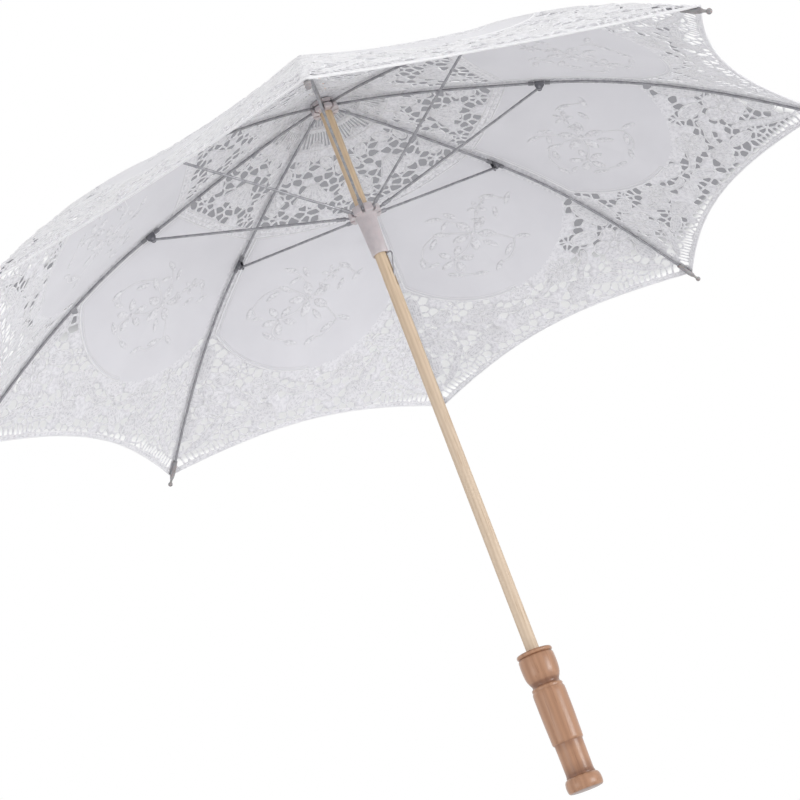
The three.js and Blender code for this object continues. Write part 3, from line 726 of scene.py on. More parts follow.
bm = bmesh.new()
rib_start, rib_end = 1.5 * MM, RIB_LENGTH - 2.9 * MM
lengths = np.r_[rib_start, 3 * MM, 4.5 * MM, 6 * MM, 7.5 * MM, 9 * MM, np.linspace(12 * MM, rib_end, 90)]
rib_r, rib_z = rib_at(lengths)
press = np.interp(lengths, [3 * MM, 9 * MM], [0.45, 1.0])
widen = np.interp(lengths, [3 * MM, 9 * MM], [1.15, 1.0])
sweep(bm, [(r, 0, z) for r, z in zip(rib_r, rib_z)], list(RIB_R * widen), 14, flat=list(RIB_R * press))
eye(bm, (PIVOT_R, 0, CROWN_Z), 2.0 * MM, 0.75 * MM, 1.0 * MM)
rib_piece = object_from(bm, "steel_rib")

thread, tree, shader = new_finish("grey_thread")
here = node(tree, "TexCoord").outputs["Object"]
fuzz = noise(tree, here, 2500.0, 3.0)
tree.links.new(mixed(tree, fuzz, (0.13, 0.13, 0.14, 1), (0.34, 0.34, 0.36, 1)), shader.inputs["Base Color"])
tree.links.new(spread(tree, fuzz, 0.3, 0.7, 0.6, 0.8), shader.inputs["Roughness"])
tree.links.new(bump_from(tree, fuzz, 0.0001), shader.inputs["Normal"])

bm = bmesh.new()
WINDING_TURNS, WINDING_START, WINDING_PITCH = 7, 5.0 * MM, 0.62 * MM
WINDING_R, THREAD_R = 1.45 * MM, 0.33 * MM
joint_length = float(np.interp(JOINT.x, rib_place[:, 0], rib_run))
for side in (-1, 1):
    for turn_number in range(WINDING_TURNS):
        at = joint_length + side * (WINDING_START + turn_number * WINDING_PITCH)
        r, z = rib_at(at)
        way = Vector((math.cos(-slope_at(at)), 0, math.sin(-slope_at(at))))
        flat_way = way.cross(Vector((0, 1, 0)))
        loop = [Vector((r, 0, z)) + WINDING_R * (flat_way * math.cos(a) + Vector((0, 1, 0)) * math.sin(a))
                for a in np.linspace(0, 2 * math.pi, 18, endpoint=False)]
        sweep(bm, loop, THREAD_R, 6, closed=True)
winding = object_from(bm, "thread_winding")
on_arms(winding, None, "rib_arm", thread)
on_arms(rib_piece, "rib", "rib_arm", rib_steel)

CLIP_IN, CLIP_OUT, CLIP_HALF, CLIP_HANG = 1.35 * MM, 1.85 * MM, 4 * MM, 4.3 * MM
CLIP_ROUND = 2.2 * MM
joint_frame = Matrix.Translation((JOINT.x, 0, JOINT.y)) @ Matrix.Rotation(JOINT_SLOPE, 4, "Y")


def clip_foot(x):
    """How far down a cheek of the clip reaches at x along the rib."""
    if abs(x) >= CLIP_ROUND:
        lean = (CLIP_HALF - abs(x)) / (CLIP_HALF - CLIP_ROUND)
        return -1.2 * MM - lean * (CLIP_HANG - 1.2 * MM)
    return -CLIP_HANG - math.sqrt(CLIP_ROUND ** 2 - x * x)


bm = bmesh.new()
stations = np.linspace(-CLIP_HALF, CLIP_HALF, 29)
sections = []
for x in stations:
    low = clip_foot(float(x))
    arc = [math.pi * n / 12 for n in range(13)]
    outer = [(CLIP_OUT * math.cos(a), CLIP_OUT * math.sin(a)) for a in arc]
    inner = [(CLIP_IN * math.cos(a), CLIP_IN * math.sin(a)) for a in reversed(arc)]
    section = [(CLIP_OUT, low), *outer, (-CLIP_OUT, low), (-CLIP_IN, low), *inner, (CLIP_IN, low)]
    sections.append([bm.verts.new((float(x), y, z)) for y, z in section])
for low, high in zip(sections, sections[1:]):
    for k in range(len(low)):
        after = (k + 1) % len(low)
        bm.faces.new((low[k], low[after], high[after], high[k]))
bm.faces.new(sections[0])
bm.faces.new(sections[-1][::-1])
bmesh.ops.triangulate(bm, faces=[f for f in bm.faces if len(f.verts) > 4])
bm.transform(joint_frame)
clip_piece = object_from(bm, "folded_clip", 50)
on_arms(clip_piece, "rib_clip", "rib_arm", dull_plated)

bm = bmesh.new()
rivet_inner, rivet_end, rivet_r, head_r = 2.15 * MM, 2.65 * MM, 0.55 * MM, 1.1 * MM
dome = [(0, -rivet_end), (0.5 * head_r, -rivet_end + 0.03 * MM), (0.85 * head_r, -rivet_end + 0.15 * MM),
        (head_r, -rivet_inner - 0.1 * MM), (head_r, -rivet_inner), (rivet_r, -rivet_inner)]
lathe(bm, dome + [(r, -y) for r, y in reversed(dome)], 24,
      joint_frame @ Matrix.Translation((0, 0, -CLIP_HANG)) @ Matrix.Rotation(math.pi / 2, 4, "X"))
rivet_piece = object_from(bm, "clip_rivet_pin", 50)
on_arms(rivet_piece, "clip_rivet", "rib_arm", rib_steel)

tip_plastic, tree, shader = new_finish("tip_plastic")
here = node(tree, "TexCoord").outputs["Object"]
cloud = noise(tree, here, 300.0, 4.0)
tree.links.new(mixed(tree, spread(tree, cloud, 0.3, 0.7), (0.33, 0.315, 0.32, 1), (0.23, 0.215, 0.22, 1)),
               shader.inputs["Base Color"])
tree.links.new(spread(tree, cloud, 0.3, 0.7, 0.34, 0.5), shader.inputs["Roughness"])
tree.links.new(bump_from(tree, cloud, 0.00005), shader.inputs["Normal"])
shader.inputs["Subsurface Weight"].default_value = 0.2
shader.inputs["Subsurface Scale"].default_value = 0.002

bm = bmesh.new()
ball_r, ball_at = 2.2 * MM, 7.6 * MM
ball = [(ball_r * math.sin(a), ball_at + ball_r * math.cos(a)) for a in np.radians(np.linspace(0, 142, 12))]
tip_outline = ball + [(r * MM, h * MM) for r, h in [
    (1.15, 5.4), (1.1, 4.4), (1.12, 3.2), (1.35, 2.0), (1.75, 1.0), (1.95, 0), (2.15, -1.6), (2.3, -4),
    (2.28, -8), (2.2, -12), (2.08, -16.2), (1.95, -17), (1.55, -17), (1.4, -16.8), (1.4, -2.5),
    (0, -2.5),
]]
tip_frame = (Matrix.Translation((TIP.x, 0, TIP.y)) @ Matrix.Rotation(TIP_SLOPE, 4, "Y")
             @ Matrix.Rotation(math.pi / 2, 4, "Y"))
lathe(bm, tip_outline, 36, tip_frame)
tip_piece = object_from(bm, "ball_tip", 45)
on_arms(tip_piece, "rib_tip", "rib_arm", tip_plastic)

# ---- Stretchers ----
# Straight plated wire, pressed to a flat eye at the clip. A thicker sleeve is crimped on next
# to the runner, and the eye past it is threaded on the runner's tie wire.
hang = fall(JOINT_SLOPE + math.pi / 2, CLIP_HANG)
pin_at = JOINT + hang
ring_at = Vector((12 * MM, RING_Z))
reach_line = ring_at - pin_at
stretch = reach_line.length
stretcher_frame = (Matrix.Translation((pin_at.x, 0, pin_at.y))
                   @ Matrix.Rotation(-math.atan2(reach_line.y, reach_line.x), 4, "Y"))
bm = bmesh.new()
sleeve_end = stretch - 4.4 * MM
steps = np.r_[1.4 * MM, 2.5 * MM, 3.5 * MM, 5 * MM, 7 * MM, np.linspace(10 * MM, sleeve_end, 24),
              stretch - 3 * MM, stretch - 1.3 * MM]
press = np.interp(steps, [0, 3 * MM, 7 * MM, sleeve_end, stretch - 3 * MM], [0.8, 0.8, 1, 1, 0.8])
sweep(bm, [(x, 0, 0) for x in steps], STRETCHER_R, 14, flat=list(STRETCHER_R * press))
eye(bm, (0, 0, 0), 1.9 * MM, 0.85 * MM, 1.8 * MM)
eye(bm, (stretch, 0, 0), 1.7 * MM, 0.8 * MM, 1.8 * MM)
sleeve = [(-8, 1.2), (-7.9, 1.6), (-7.5, 1.75), (-5.6, 1.75), (-5.3, 1.55), (-4.9, 1.55), (-4.6, 1.75),
          (-3.2, 1.75), (-2.9, 1.55), (-2.5, 1.55), (-2.2, 1.75), (-0.5, 1.75), (-0.1, 1.6), (0, 1.2)]
sweep(bm, [(sleeve_end + x * MM, 0, 0) for x, _ in sleeve], [r * MM for _, r in sleeve], 20)
bm.transform(stretcher_frame)
stretcher_piece = object_from(bm, "wire_stretcher")
on_arms(stretcher_piece, "stretcher", "stretcher_arm", plated)

# ---- Cover ----
# One sheet of white cotton sewn over the eight ribs: a round of tape lace at the crown, a plain
# embroidered lobe in each gore, lace corners and a narrow tape hem. It is made in eight parts
# that meet along the middle of each gore, so that every part folds with its own rib.
CLOTH_RISE, CLOTH_TOP = 2.9 * MM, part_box("canopy_panel_1")[1].z
CLOTH_Z = CLOTH_TOP - 1 * MM
CLOTH_FLAT, CLOTH_SETTLE = 3.6 * MM, 40 * MM
GORE_SAG, HEM_RISE = 10.9 * MM, 0.087
HALF_GORE = math.pi / ARMS
HALF_SIN, HALF_COS = math.sin(HALF_GORE), math.cos(HALF_GORE)
CLOTH_START = -2.45 * MM
CLOTH_HALF = 0.28 * MM
MIDDLE = 0.5 * MM


def half_wide(length):
    return np.maximum(rib_at(length)[0], 1 * MM) * HALF_SIN


def cloth_at(length, across, lift=0.0):
    """Points of the cover, by length along the rib and share of the way to mid-gore."""
    length, across = np.asarray(length, float), np.asarray(across, float)
    r, z = rib_at(length)
    t = np.clip((length - CLOTH_FLAT) / (CLOTH_SETTLE - CLOTH_FLAT), 0, 1)
    settled = t * t * (3 - 2 * t)
    slope = slope_at(length) * settled
    r = r + (CLOTH_RISE + lift) * np.sin(slope)
    z = CLOTH_Z + lift + (z + (CLOTH_RISE + lift) * np.cos(slope) - CLOTH_Z - lift) * settled
    off = np.abs(across)
    mid_x = r * HALF_COS * HALF_COS
    mid_y = r * HALF_COS * HALF_SIN * np.sign(across)
    x = r + (mid_x - r) * off
    y = mid_y * off
    drop = GORE_SAG * np.maximum(length, 0) / RIB_LENGTH * (2 * off - off * off)
    return np.stack([x, y, z - drop], axis=-1)


def hem_length(across):
    off = np.abs(across)
    return RIB_LENGTH * (1 - HEM_RISE * (2 * off - off * off))


def inside_shape(points, shape):
    """Which points lie inside a closed outline."""
    x, y = points[:, 0], points[:, 1]
    found = np.zeros(len(points), bool)
    box_low, box_high = shape.min(axis=0), shape.max(axis=0)
    near = np.where((x > box_low[0]) & (x < box_high[0]) & (y > box_low[1]) & (y < box_high[1]))[0]
    if not len(near):
        return found
    px, py = x[near], y[near]
    hit = np.zeros(len(near), bool)
    for (ax, ay), (bx, by) in zip(shape, np.roll(shape, -1, axis=0)):
        crosses = (ay > py) != (by > py)
        with np.errstate(divide="ignore", invalid="ignore"):
            cut_x = ax + (py - ay) * (bx - ax) / (by - ay)
        hit ^= crosses & (px < cut_x)
    found[near] = hit
    return found


def area_inside(shape):
    x, y = shape[:, 0], shape[:, 1]
    return 0.5 * abs(np.sum(x * np.roll(y, -1) - y * np.roll(x, -1)))


def turned(x, y, centre, turn):
    return np.stack([centre[0] + x * math.cos(turn) - y * math.sin(turn),
                     centre[1] + x * math.sin(turn) + y * math.cos(turn)], axis=-1)


def oval(centre, along, wide, turn=0.0, count=40, start=0.0, end=2 * math.pi):
    a = np.linspace(start, end, count, endpoint=end - start < 2 * math.pi - 1e-6)
    return turned(along * np.cos(a), wide * np.sin(a), centre, turn)


# The lace is drawn on the flat gore, in millimetres: (length from the crown, offset from the
# middle of the gore). Bars of thread leave open cells between them, and petals, scrolls and
# tapes are worked solid.
LACE_SEED = 41
BAR, CELL_PITCH = 1.7, 9.0
DISC_EDGE, DISC_TAPE = 146.0, 9.0
LOBE_CENTRE, LOBE_ALONG, LOBE_WIDE = (211.0, 0.0), 101.0, 98.0
LOBE_MARGIN = 7.0
HEM_TAPE, HEM_CLEAR, RIB_SEAM = 5.0, 1.5, 3.2
CELL_REACH, CELL_LEAST, CELL_MOST = 14, 3.0, 95.0
SEED_JITTER, SEED_GAP, CLOSED_SHARE = 1.9, 6.0, 0.18
draw = random.Random(LACE_SEED)


def gore_half(length):
    return float(half_wide(length * MM)) / MM


def gore_hem(offset_share):
    return float(hem_length(1 - abs(offset_share))) / MM


def in_lobe(point, grow=0.0):
    return (((point[0] - LOBE_CENTRE[0]) / (LOBE_ALONG + grow)) ** 2
            + ((point[1] - LOBE_CENTRE[1]) / (LOBE_WIDE + grow)) ** 2) < 1


def rib_side(length, inward, side):
    """A point of the gore, measured inward from the rib at that side."""
    return (length, side * (gore_half(length) - inward))


# Outlines and veins are (line, whether it closes, radius of its cord).
solid_shapes, outlines, veins = [], [], []


def petal(centre, long, wide, turn, vein_count):
    """A solid worked petal with a corded edge and raised veins."""
    solid_shapes.append(oval(centre, long, wide, turn, 26))
    outlines.append((oval(centre, long * 0.96, wide * 0.94, turn, 30), True, 0.62))
    for n in range(vein_count):
        share = (n + 1) / (vein_count + 1) * 2 - 1
        bow = oval((0, 0), long * 0.82, wide * share * 0.86, 0, 12, 0.35, math.pi - 0.35)
        veins.append((turned(bow[:, 0], bow[:, 1], centre, turn), False, 0.42))


def flower(centre, reach, count, turn):
    for n in range(count):
        a = turn + 2 * math.pi * n / count
        middle = (centre[0] + reach * 0.60 * math.cos(a), centre[1] + reach * 0.60 * math.sin(a))
        petal(middle, reach * 0.42, reach * 0.40, a, 2)
    solid_shapes.append(oval(centre, reach * 0.3, reach * 0.3))
    outlines.append((oval(centre, reach * 0.2, reach * 0.2, 0, 14), True, 0.7))


def fan(root, reach, spread_angle, turn, lobes):
    """A worked fan: a scalloped edge, a second cord inside it, and spokes from its root."""
    edge = []
    for a in np.linspace(-spread_angle, spread_angle, 8 * lobes + 1):
        scallop = abs(math.sin((a + spread_angle) / (2 * spread_angle) * math.pi * lobes))
        radius = reach * (0.90 + 0.10 * scallop)
        edge.append((root[0] + radius * math.cos(turn + a), root[1] + radius * math.sin(turn + a)))
    solid_shapes.append(np.array([root] + edge))
    outlines.append((np.array(edge), False, 0.7))
    for share, count in [(0.66, 24), (0.34, 16)]:
        arc = oval(root, reach * share, reach * share, turn, count, -spread_angle, spread_angle)
        outlines.append((arc, False, 0.5))
    for share in np.linspace(-0.86, 0.86, 2 * lobes + 1):
        a = turn + spread_angle * share
        ray = np.array([(math.cos(a), math.sin(a))])
        veins.append((np.array(root) + ray * np.linspace(0.16, 0.90, 9)[:, None] * reach, False, 0.42))


def scroll(knots, width):
    """A tape laid along a curve, with a cord at each edge and cross stitches between them."""
    line = np.array([tuple(p)[:2] for p in smooth_line([(a, b, 0) for a, b in knots], 34)])
    way = np.gradient(line, axis=0)
    way /= np.linalg.norm(way, axis=1)[:, None]
    side = np.stack([-way[:, 1], way[:, 0]], axis=-1)
    taper = np.clip(np.sin(np.linspace(0.25, math.pi - 0.25, len(line))) * 1.6, 0.4, 1)[:, None]
    reach = side * width / 2 * taper
    solid_shapes.append(np.vstack([line + reach, (line - reach)[::-1]]))
    outlines.append((line + reach * 0.88, False, 0.6))
    outlines.append((line - reach * 0.88, False, 0.6))
    for n in range(2, len(line) - 2, 2):
        veins.append((np.array([line[n] - reach[n] * 0.8, line[n], line[n] + reach[n] * 0.8]), False, 0.34))


# Round of lace at the crown: leaves round the middle, then a ring of fans between open net.
petal((50, 0), 13, 6.5, 0, 3)
fan((84, 0), 34, 0.62, 0, 3)
for side in (-1, 1):
    petal(rib_side(46, 0, side), 13, 5.5, side * HALF_GORE, 3)
    petal((66, side * 11), 9, 5, side * 0.55, 2)
    fan(rib_side(88, 0, side), 34, 0.52, side * HALF_GORE, 3)
    petal(rib_side(76, 7, side), 8.5, 4.2, side * 0.1, 2)

# Corners outside the lobe, towards each rib's end.
for side in (-1, 1):
    turn = side * HALF_GORE
    petal(rib_side(288, 8, side), 22, 6.5, turn * 0.9, 4)
    flower(rib_side(330, 20, side), 19, 5, side * 0.6)
    petal(rib_side(357, 9, side), 12, 6, turn, 3)
    petal(rib_side(306, 31, side), 13, 7.5, side * 1.15, 3)
    scroll([rib_side(*p, side) for p in [(345, 42), (356, 33), (370, 24), (382, 11)]], 7)
    scroll([rib_side(*p, side) for p in [(316, 43), (326, 50), (334, 62), (345, 71)]], 7.5)
    flower(rib_side(322, 74, side), 14.5, 6, side * 0.2)
    fan(rib_side(338, 82, side), 25, 0.8, side * 0.5, 4)
    petal(rib_side(356, 54, side), 14, 5.5, side * 1.25, 3)
    petal((346, side * 14), 12, 6.5, side * 0.9, 3)
    petal(rib_side(345, 4, side), 9, 3.6, turn, 2)
    scroll([(331, side * 4), (334, side * 13), (330, side * 24), (322, side * 33)], 6)
petal((321, 0), 7.5, 12, 0, 3)

# Seeds of the open cells: stars, ladder bars and loose network.
cell_seeds, open_cells = [], []


def add_seed(point, is_open=True):
    cell_seeds.append(point)
    open_cells.append(is_open)


def star(centre, reach, count, turn):
    for n in range(count):
        a = turn + 2 * math.pi * n / count
        add_seed((centre[0] + reach * math.cos(a), centre[1] + reach * math.sin(a)))


for side in (-1, 1):
    for length, inward in [(70, 12), (126, 19), (300, 44), (345, 24), (364, 40), (312, 14)]:
        star(rib_side(length, inward, side), 4.4, 6, draw.random())
    for n in range(12):
        share = 0.05 + n * 0.034
        length = gore_hem(1 - share) - HEM_TAPE - 5.2
        add_seed((length, side * gore_half(length) * (1 - share)))
for n in range(-16, 17):
    a = n * 0.082
    seat = (LOBE_CENTRE[0] + (LOBE_ALONG + 6) * math.cos(a), LOBE_CENTRE[1] + (LOBE_WIDE + 6) * math.sin(a))
    if abs(seat[1]) < gore_half(seat[0]) - 4:
        add_seed(seat, n % 7 != 3)
for length in np.arange(14.0, RIB_LENGTH / MM, CELL_PITCH * 0.87):
    wide = gore_half(length)
    count = max(2, int(2 * wide / CELL_PITCH))
    for n in range(count + 1):
        offset = -wide + 2 * wide * n / count
        shift = [draw.uniform(-SEED_JITTER, SEED_JITTER) for _ in range(2)]
        seat = (length + shift[0], offset + shift[1])
        if min((seat[0] - c[0]) ** 2 + (seat[1] - c[1]) ** 2 for c in cell_seeds) < SEED_GAP ** 2:
            continue
        in_disc = 54 < seat[0] < DISC_EDGE - DISC_TAPE - 2
        in_corner = seat[0] > LOBE_CENTRE[0] and not in_lobe(seat, 5)
        add_seed(seat, (in_disc or in_corner) and draw.random() > CLOSED_SHARE)
seeds = np.array(cell_seeds)


def open_cell(number):
    """The space between the bars round one seed, with rounded corners."""
    seed = seeds[number]
    ways = np.linspace(0, 2 * math.pi, 16, endpoint=False)
    shape = [seed + CELL_REACH * np.array([math.cos(a), math.sin(a)]) for a in ways]
    gaps = np.linalg.norm(seeds - seed, axis=1)
    for other in np.argsort(gaps)[1:18]:
        way = (seeds[other] - seed) / gaps[other]
        limit = gaps[other] / 2 - BAR / 2
        kept = []
        for a, b in zip(shape, shape[1:] + shape[:1]):
            da, db = (a - seed) @ way - limit, (b - seed) @ way - limit
            if da <= 0:
                kept.append(a)
            if (da < 0) != (db < 0):
                kept.append(a + (b - a) * da / (da - db))
        shape = kept
        if len(shape) < 3:
            return None
    shape = np.array(shape)
    for cut in (0.16, 0.25):
        after = np.roll(shape, -1, axis=0)
        near_points, far_points = shape * (1 - cut) + after * cut, shape * cut + after * (1 - cut)
        shape = np.stack([near_points, far_points], axis=1).reshape(-1, 2)
        spaced_out = np.linalg.norm(shape - np.roll(shape, 1, axis=0), axis=1) > 0.35
        shape = shape[spaced_out]
        if len(shape) < 4:
            return None
    return shape if CELL_LEAST < area_inside(shape) < CELL_MOST else None


def tape_band(low_line, high_line):
    return np.vstack([low_line, high_line[::-1]])


cells = [c for c in (open_cell(n) for n in range(len(seeds)) if open_cells[n]) if c is not None]
SLIT_ROWS = [(15, 25, 4), (28.5, 46.5, 6)]  # from, to, and slits each side of a rib
for low, high, rays in SLIT_ROWS:
    for n in range(2 * rays):
        share = (n + 0.5) / rays - 1
        if abs(share) > 0.9:
            continue
        low_half, high_half = gore_half(low + 1), gore_half(high - 1)
        wide = 0.27 / rays
        cells.append(np.array([
            (low + 1, (share - wide) * low_half), (low + 1, (share + wide) * low_half),
            (high - 1, (share + wide) * high_half), (high - 1, (share - wide) * high_half),
        ]))
cells = [c for c in cells if not any(in_lobe(p, 1.5) for p in c) or c[:, 0].mean() < LOBE_CENTRE[0]]


def lobe_offset(length, inset=0.0):
    """Half the width of the plain lobe: an oval that keeps clear of the ribs."""
    along = min(max((length - LOBE_CENTRE[0]) / (LOBE_ALONG - inset), 0), 1)
    return min((LOBE_WIDE - inset) * math.sqrt(1 - along * along), gore_half(length) - LOBE_MARGIN - inset)


def lobe_line(inset=0.0):
    bow = np.sin(np.linspace(0, math.pi / 2, 60))
    lengths = DISC_EDGE + 1 + (LOBE_CENTRE[0] + LOBE_ALONG - inset - DISC_EDGE - 1) * bow
    half = np.array([(v, lobe_offset(v, inset)) for v in lengths])
    return np.vstack([half, half[-2::-1] * np.array([1, -1])])


outlines.append((lobe_line(), False, 0.85))
outlines.append((lobe_line(3.0), False, 0.45))

# Sprays embroidered in satin stitch on the lobe: pads are (place, half length, half width, turn).
satin_pads, stems = [], []
SPRAY_AT, SPRAY_PETALS = 26.0, 5  # how far out the sprays' own points are shifted, and petals


def spray_flower(centre, reach, turn):
    centre = (centre[0] + SPRAY_AT, centre[1])
    for n in range(SPRAY_PETALS):
        a = turn + 2 * math.pi * n / SPRAY_PETALS
        satin_pads.append(((centre[0] + reach * 0.62 * math.cos(a), centre[1] + reach * 0.62 * math.sin(a)),
                           reach * 0.40, reach * 0.21, a))
    satin_pads.append((centre, reach * 0.13, reach * 0.13, 0))


def spray_leaf(centre, long, turn):
    satin_pads.append((centre, long, long * 0.36, turn))


spray_flower((205, -4), 21, 0.4)
spray_flower((223, 27), 17, 0.1)
spray_flower((181, -24), 9.5, 0.7)
for knots in [
    [(205, -3), (214, 6), (219, 14), (221, 25)], [(205, -3), (214, -16), (226, -24), (236, -30)],
    [(205, -3), (198, -10), (190, -16), (181, -24)], [(205, -3), (192, 12), (186, 26), (190, 40)],
    [(236, -30), (246, -24), (252, -14), (252, -4)], [(221, 25), (234, 34), (244, 30), (250, 20)],
    [(181, -24), (176, -34), (180, -42), (188, -48)], [(190, 40), (198, 48), (208, 52), (214, 49)],
    [(205, -3), (190, 0), (176, 6), (168, 14)],
]:
    line = np.array([tuple(p)[:2] for p in smooth_line([(a + SPRAY_AT, b, 0) for a, b in knots], 14)])
    stems.append((line, False, 0.5))
for (length, offset), long, turn in [
    ((226, -10), 8, -0.5), ((195, -16), 7, 2.6), ((188, 20), 8, 2.2), ((194, 33), 7.5, 0.9),
    ((243, -20), 8, 1.0), ((254, -2), 7, 0.9), ((240, 38), 7.5, -0.8), ((252, 17), 7, 1.9),
    ((176, -38), 7.5, 2.2),
    ((191, -51), 7, 0.8), ((172, 1), 7, 2.7), ((166, 16), 7, 2.0), ((210, 55), 7, 0.4), ((218, 48), 6, 1.6),
    ((238, -38), 7, -1.0), ((197, -34), 6.5, 0.4), ((180, 12), 6, 1.0),
]:
    spray_leaf((length + SPRAY_AT, offset), long, turn)


def on_panel(shape, side):
    """Moves points drawn on the gore at that side of a rib to the rib's own (length, offset)."""
    placed_points = np.array(shape, float)
    placed_points[:, 1] += side * np.array([gore_half(v) for v in placed_points[:, 0]])
    return placed_points


def hem_limit(length, offset):
    return float(hem_length(min(1, abs(offset) / gore_half(length)))) / MM - HEM_CLEAR


def on_cloth(point):
    return abs(point[1]) <= gore_half(point[0]) and point[0] < hem_limit(*point)


def pieces_inside(line, closed):
    """Splits a line where it leaves the panel."""
    line = np.asarray(line)
    if closed:
        line = np.vstack([line, line[:1]])
    good = np.array([on_cloth(point) for point in line])
    if good.all():
        return [(line[:-1] if closed else line, closed)]
    runs, current = [], []
    for n, point in enumerate(line):
        if good[n]:
            if not current and n and not good[n - 1]:
                current.append(edge_point(line[n - 1], point))
            current.append(point)
        elif current:
            current.append(edge_point(point, line[n - 1]))
            runs.append((np.array(current), False))
            current = []
    if current:
        runs.append((np.array(current), False))
    return runs


def edge_point(outside, inside):
    for _ in range(14):
        middle = (outside + inside) / 2
        if on_cloth(middle):
            inside = middle
        else:
            outside = middle
    return inside


# The flat panel: its outline, its open cells and its worked shapes go into one triangulation.
spots, links = [], []


def add_line(points, closed):
    first = len(spots)
    spots.extend(Vector((float(a), float(b))) for a, b in points)
    links.extend((first + n, first + n + 1) for n in range(len(points) - 1))
    if closed:
        links.append((first + len(points) - 1, first))


start = CLOTH_START / MM
side_lengths = np.linspace(start, gore_hem(0), 110)
right_side = np.array([(v, gore_half(v)) for v in side_lengths])
hem_shares = np.linspace(1, -1, 97)
hem_line = np.array([(hem_length(w) / MM, w * gore_half(hem_length(w) / MM)) for w in hem_shares])
left_side = np.array([(v, -gore_half(v)) for v in side_lengths[::-1]])
start_line = np.array([(start, o) for o in np.linspace(-gore_half(start), gore_half(start), 5)])
panel_outline = np.vstack([right_side, hem_line[1:], left_side[1:], start_line[1:-1]])
add_line(panel_outline, True)

hem_inner = hem_line - np.array([HEM_TAPE, 0])
worked = [tape_band(hem_inner, hem_line + np.array([1, 0]))]
ring_offsets = np.linspace(-gore_half(DISC_EDGE), gore_half(DISC_EDGE), 31)
disc_rims = [np.array([(v, o) for o in ring_offsets]) for v in (DISC_EDGE, DISC_EDGE - DISC_TAPE)]
worked.append(tape_band(*disc_rims))
seam_lengths = np.linspace(start, RIB_LENGTH / MM, 60)
worked.append(tape_band(*(np.array([(v, o) for v in seam_lengths]) for o in (-RIB_SEAM, RIB_SEAM))))
holes = []
for side in (-1, 1):
    worked.extend(on_panel(s, side) for s in solid_shapes)
    holes.extend(on_panel(c, side) for c in cells)


def kept_near(shape):
    return (np.abs(shape[:, 1]) < np.array([gore_half(v) for v in shape[:, 0]]) + 0.5).any()


worked = worked[:3] + [s for s in worked[3:] if kept_near(s)]
holes = [h for h in holes if kept_near(h)]
for shape in holes + worked[1:]:
    add_line(shape, True)
add_line(hem_inner, False)
for side in (-1, 1):
    lobe_edge = on_panel(lobe_line(), side)
    for run, _ in pieces_inside(lobe_edge, False):
        if len(run) > 1:
            add_line(run, False)
for length in np.arange(start + 4, RIB_LENGTH / MM, 5.5):
    wide = gore_half(length)
    for offset in np.linspace(-wide, wide, max(3, int(2 * wide / 5.5)) + 1)[1:-1]:
        spots.append(Vector((float(length), float(offset))))
net_points, _, net_faces, *_ = delaunay_2d_cdt(spots, links, [], 0, 1e-4)
flat = np.array([tuple(p) for p in net_points])
faces = np.array([f for f in net_faces if len(f) == 3])
middles = flat[faces].mean(axis=1)
keep = inside_shape(middles, panel_outline)
in_hole = np.zeros(len(faces), bool)
for shape in holes:
    in_hole |= inside_shape(middles, shape)
in_work = np.zeros(len(faces), bool)
for shape in worked:
    in_work |= inside_shape(middles, shape)
keep &= ~(in_hole & ~in_work)
a, b, c = (flat[faces[:, n]] for n in range(3))
face_areas = 0.5 * ((b[:, 0] - a[:, 0]) * (c[:, 1] - a[:, 1]) - (b[:, 1] - a[:, 1]) * (c[:, 0] - a[:, 0]))
keep &= np.abs(face_areas) > 1e-6
faces = np.where((face_areas < 0)[:, None], faces[:, ::-1], faces)[keep]
middles, in_work = middles[keep], in_work[keep]
used = np.unique(faces)
flat = flat[used]
faces = np.searchsorted(used, faces)
gore_side = np.sign(middles[:, 1]) + (middles[:, 1] == 0)
gore_offset = middles[:, 1] - gore_side * np.array([gore_half(v) for v in middles[:, 0]])
lobe_half = np.array([lobe_offset(v) if v < LOBE_CENTRE[0] + LOBE_ALONG else -1 for v in middles[:, 0]])
plain = (np.abs(gore_offset) < lobe_half) & (middles[:, 0] > DISC_EDGE)
lace_face = np.where(plain, 0.0, np.where(in_work, 1.0, 0.7))

share = np.clip(flat[:, 1] / np.array([gore_half(v) for v in flat[:, 0]]), -1, 1)
lengths = flat[:, 0] * MM
step = 1 * MM
run_l = cloth_at(lengths + step, share) - cloth_at(lengths - step, share)
run_s = cloth_at(lengths, share + 0.02) - cloth_at(lengths, share - 0.02)
normals = np.cross(run_l, run_s)
normals /= np.linalg.norm(normals, axis=1)[:, None]
normals *= np.sign(normals[:, 2])[:, None]
middle_sheet = cloth_at(lengths, share, MIDDLE)
top = middle_sheet + normals * CLOTH_HALF
under = middle_sheet - normals * CLOTH_HALF
count = len(flat)
first_up = np.cross(top[faces[0, 1]] - top[faces[0, 0]], top[faces[0, 2]] - top[faces[0, 0]])
upward = faces if first_up[2] > 0 else faces[:, ::-1]
ways_round = dict.fromkeys((int(face[n]), int(face[(n + 1) % 3])) for face in upward for n in range(3))
rim = [(p, q) for (p, q) in ways_round if (q, p) not in ways_round]
vertices = [tuple(v) for v in np.vstack([top, under])]
polygons = [tuple(int(v) for v in f) for f in upward]
polygons += [tuple(int(v) + count for v in f[::-1]) for f in upward]
polygons += [(q, p, p + count, q + count) for p, q in rim]
face_lace = list(lace_face) + list(lace_face) + [1.0] * len(rim)
on_middle = np.abs(np.abs(share) - 1) < 1e-4
sharp_pairs = {(p, q) for p, q in rim if on_middle[p] and on_middle[q]}

# Cords, veins, stems and satin pads are laid on the same panel.
CORD_TONE, PAD_TONE = 2.0, 1.3


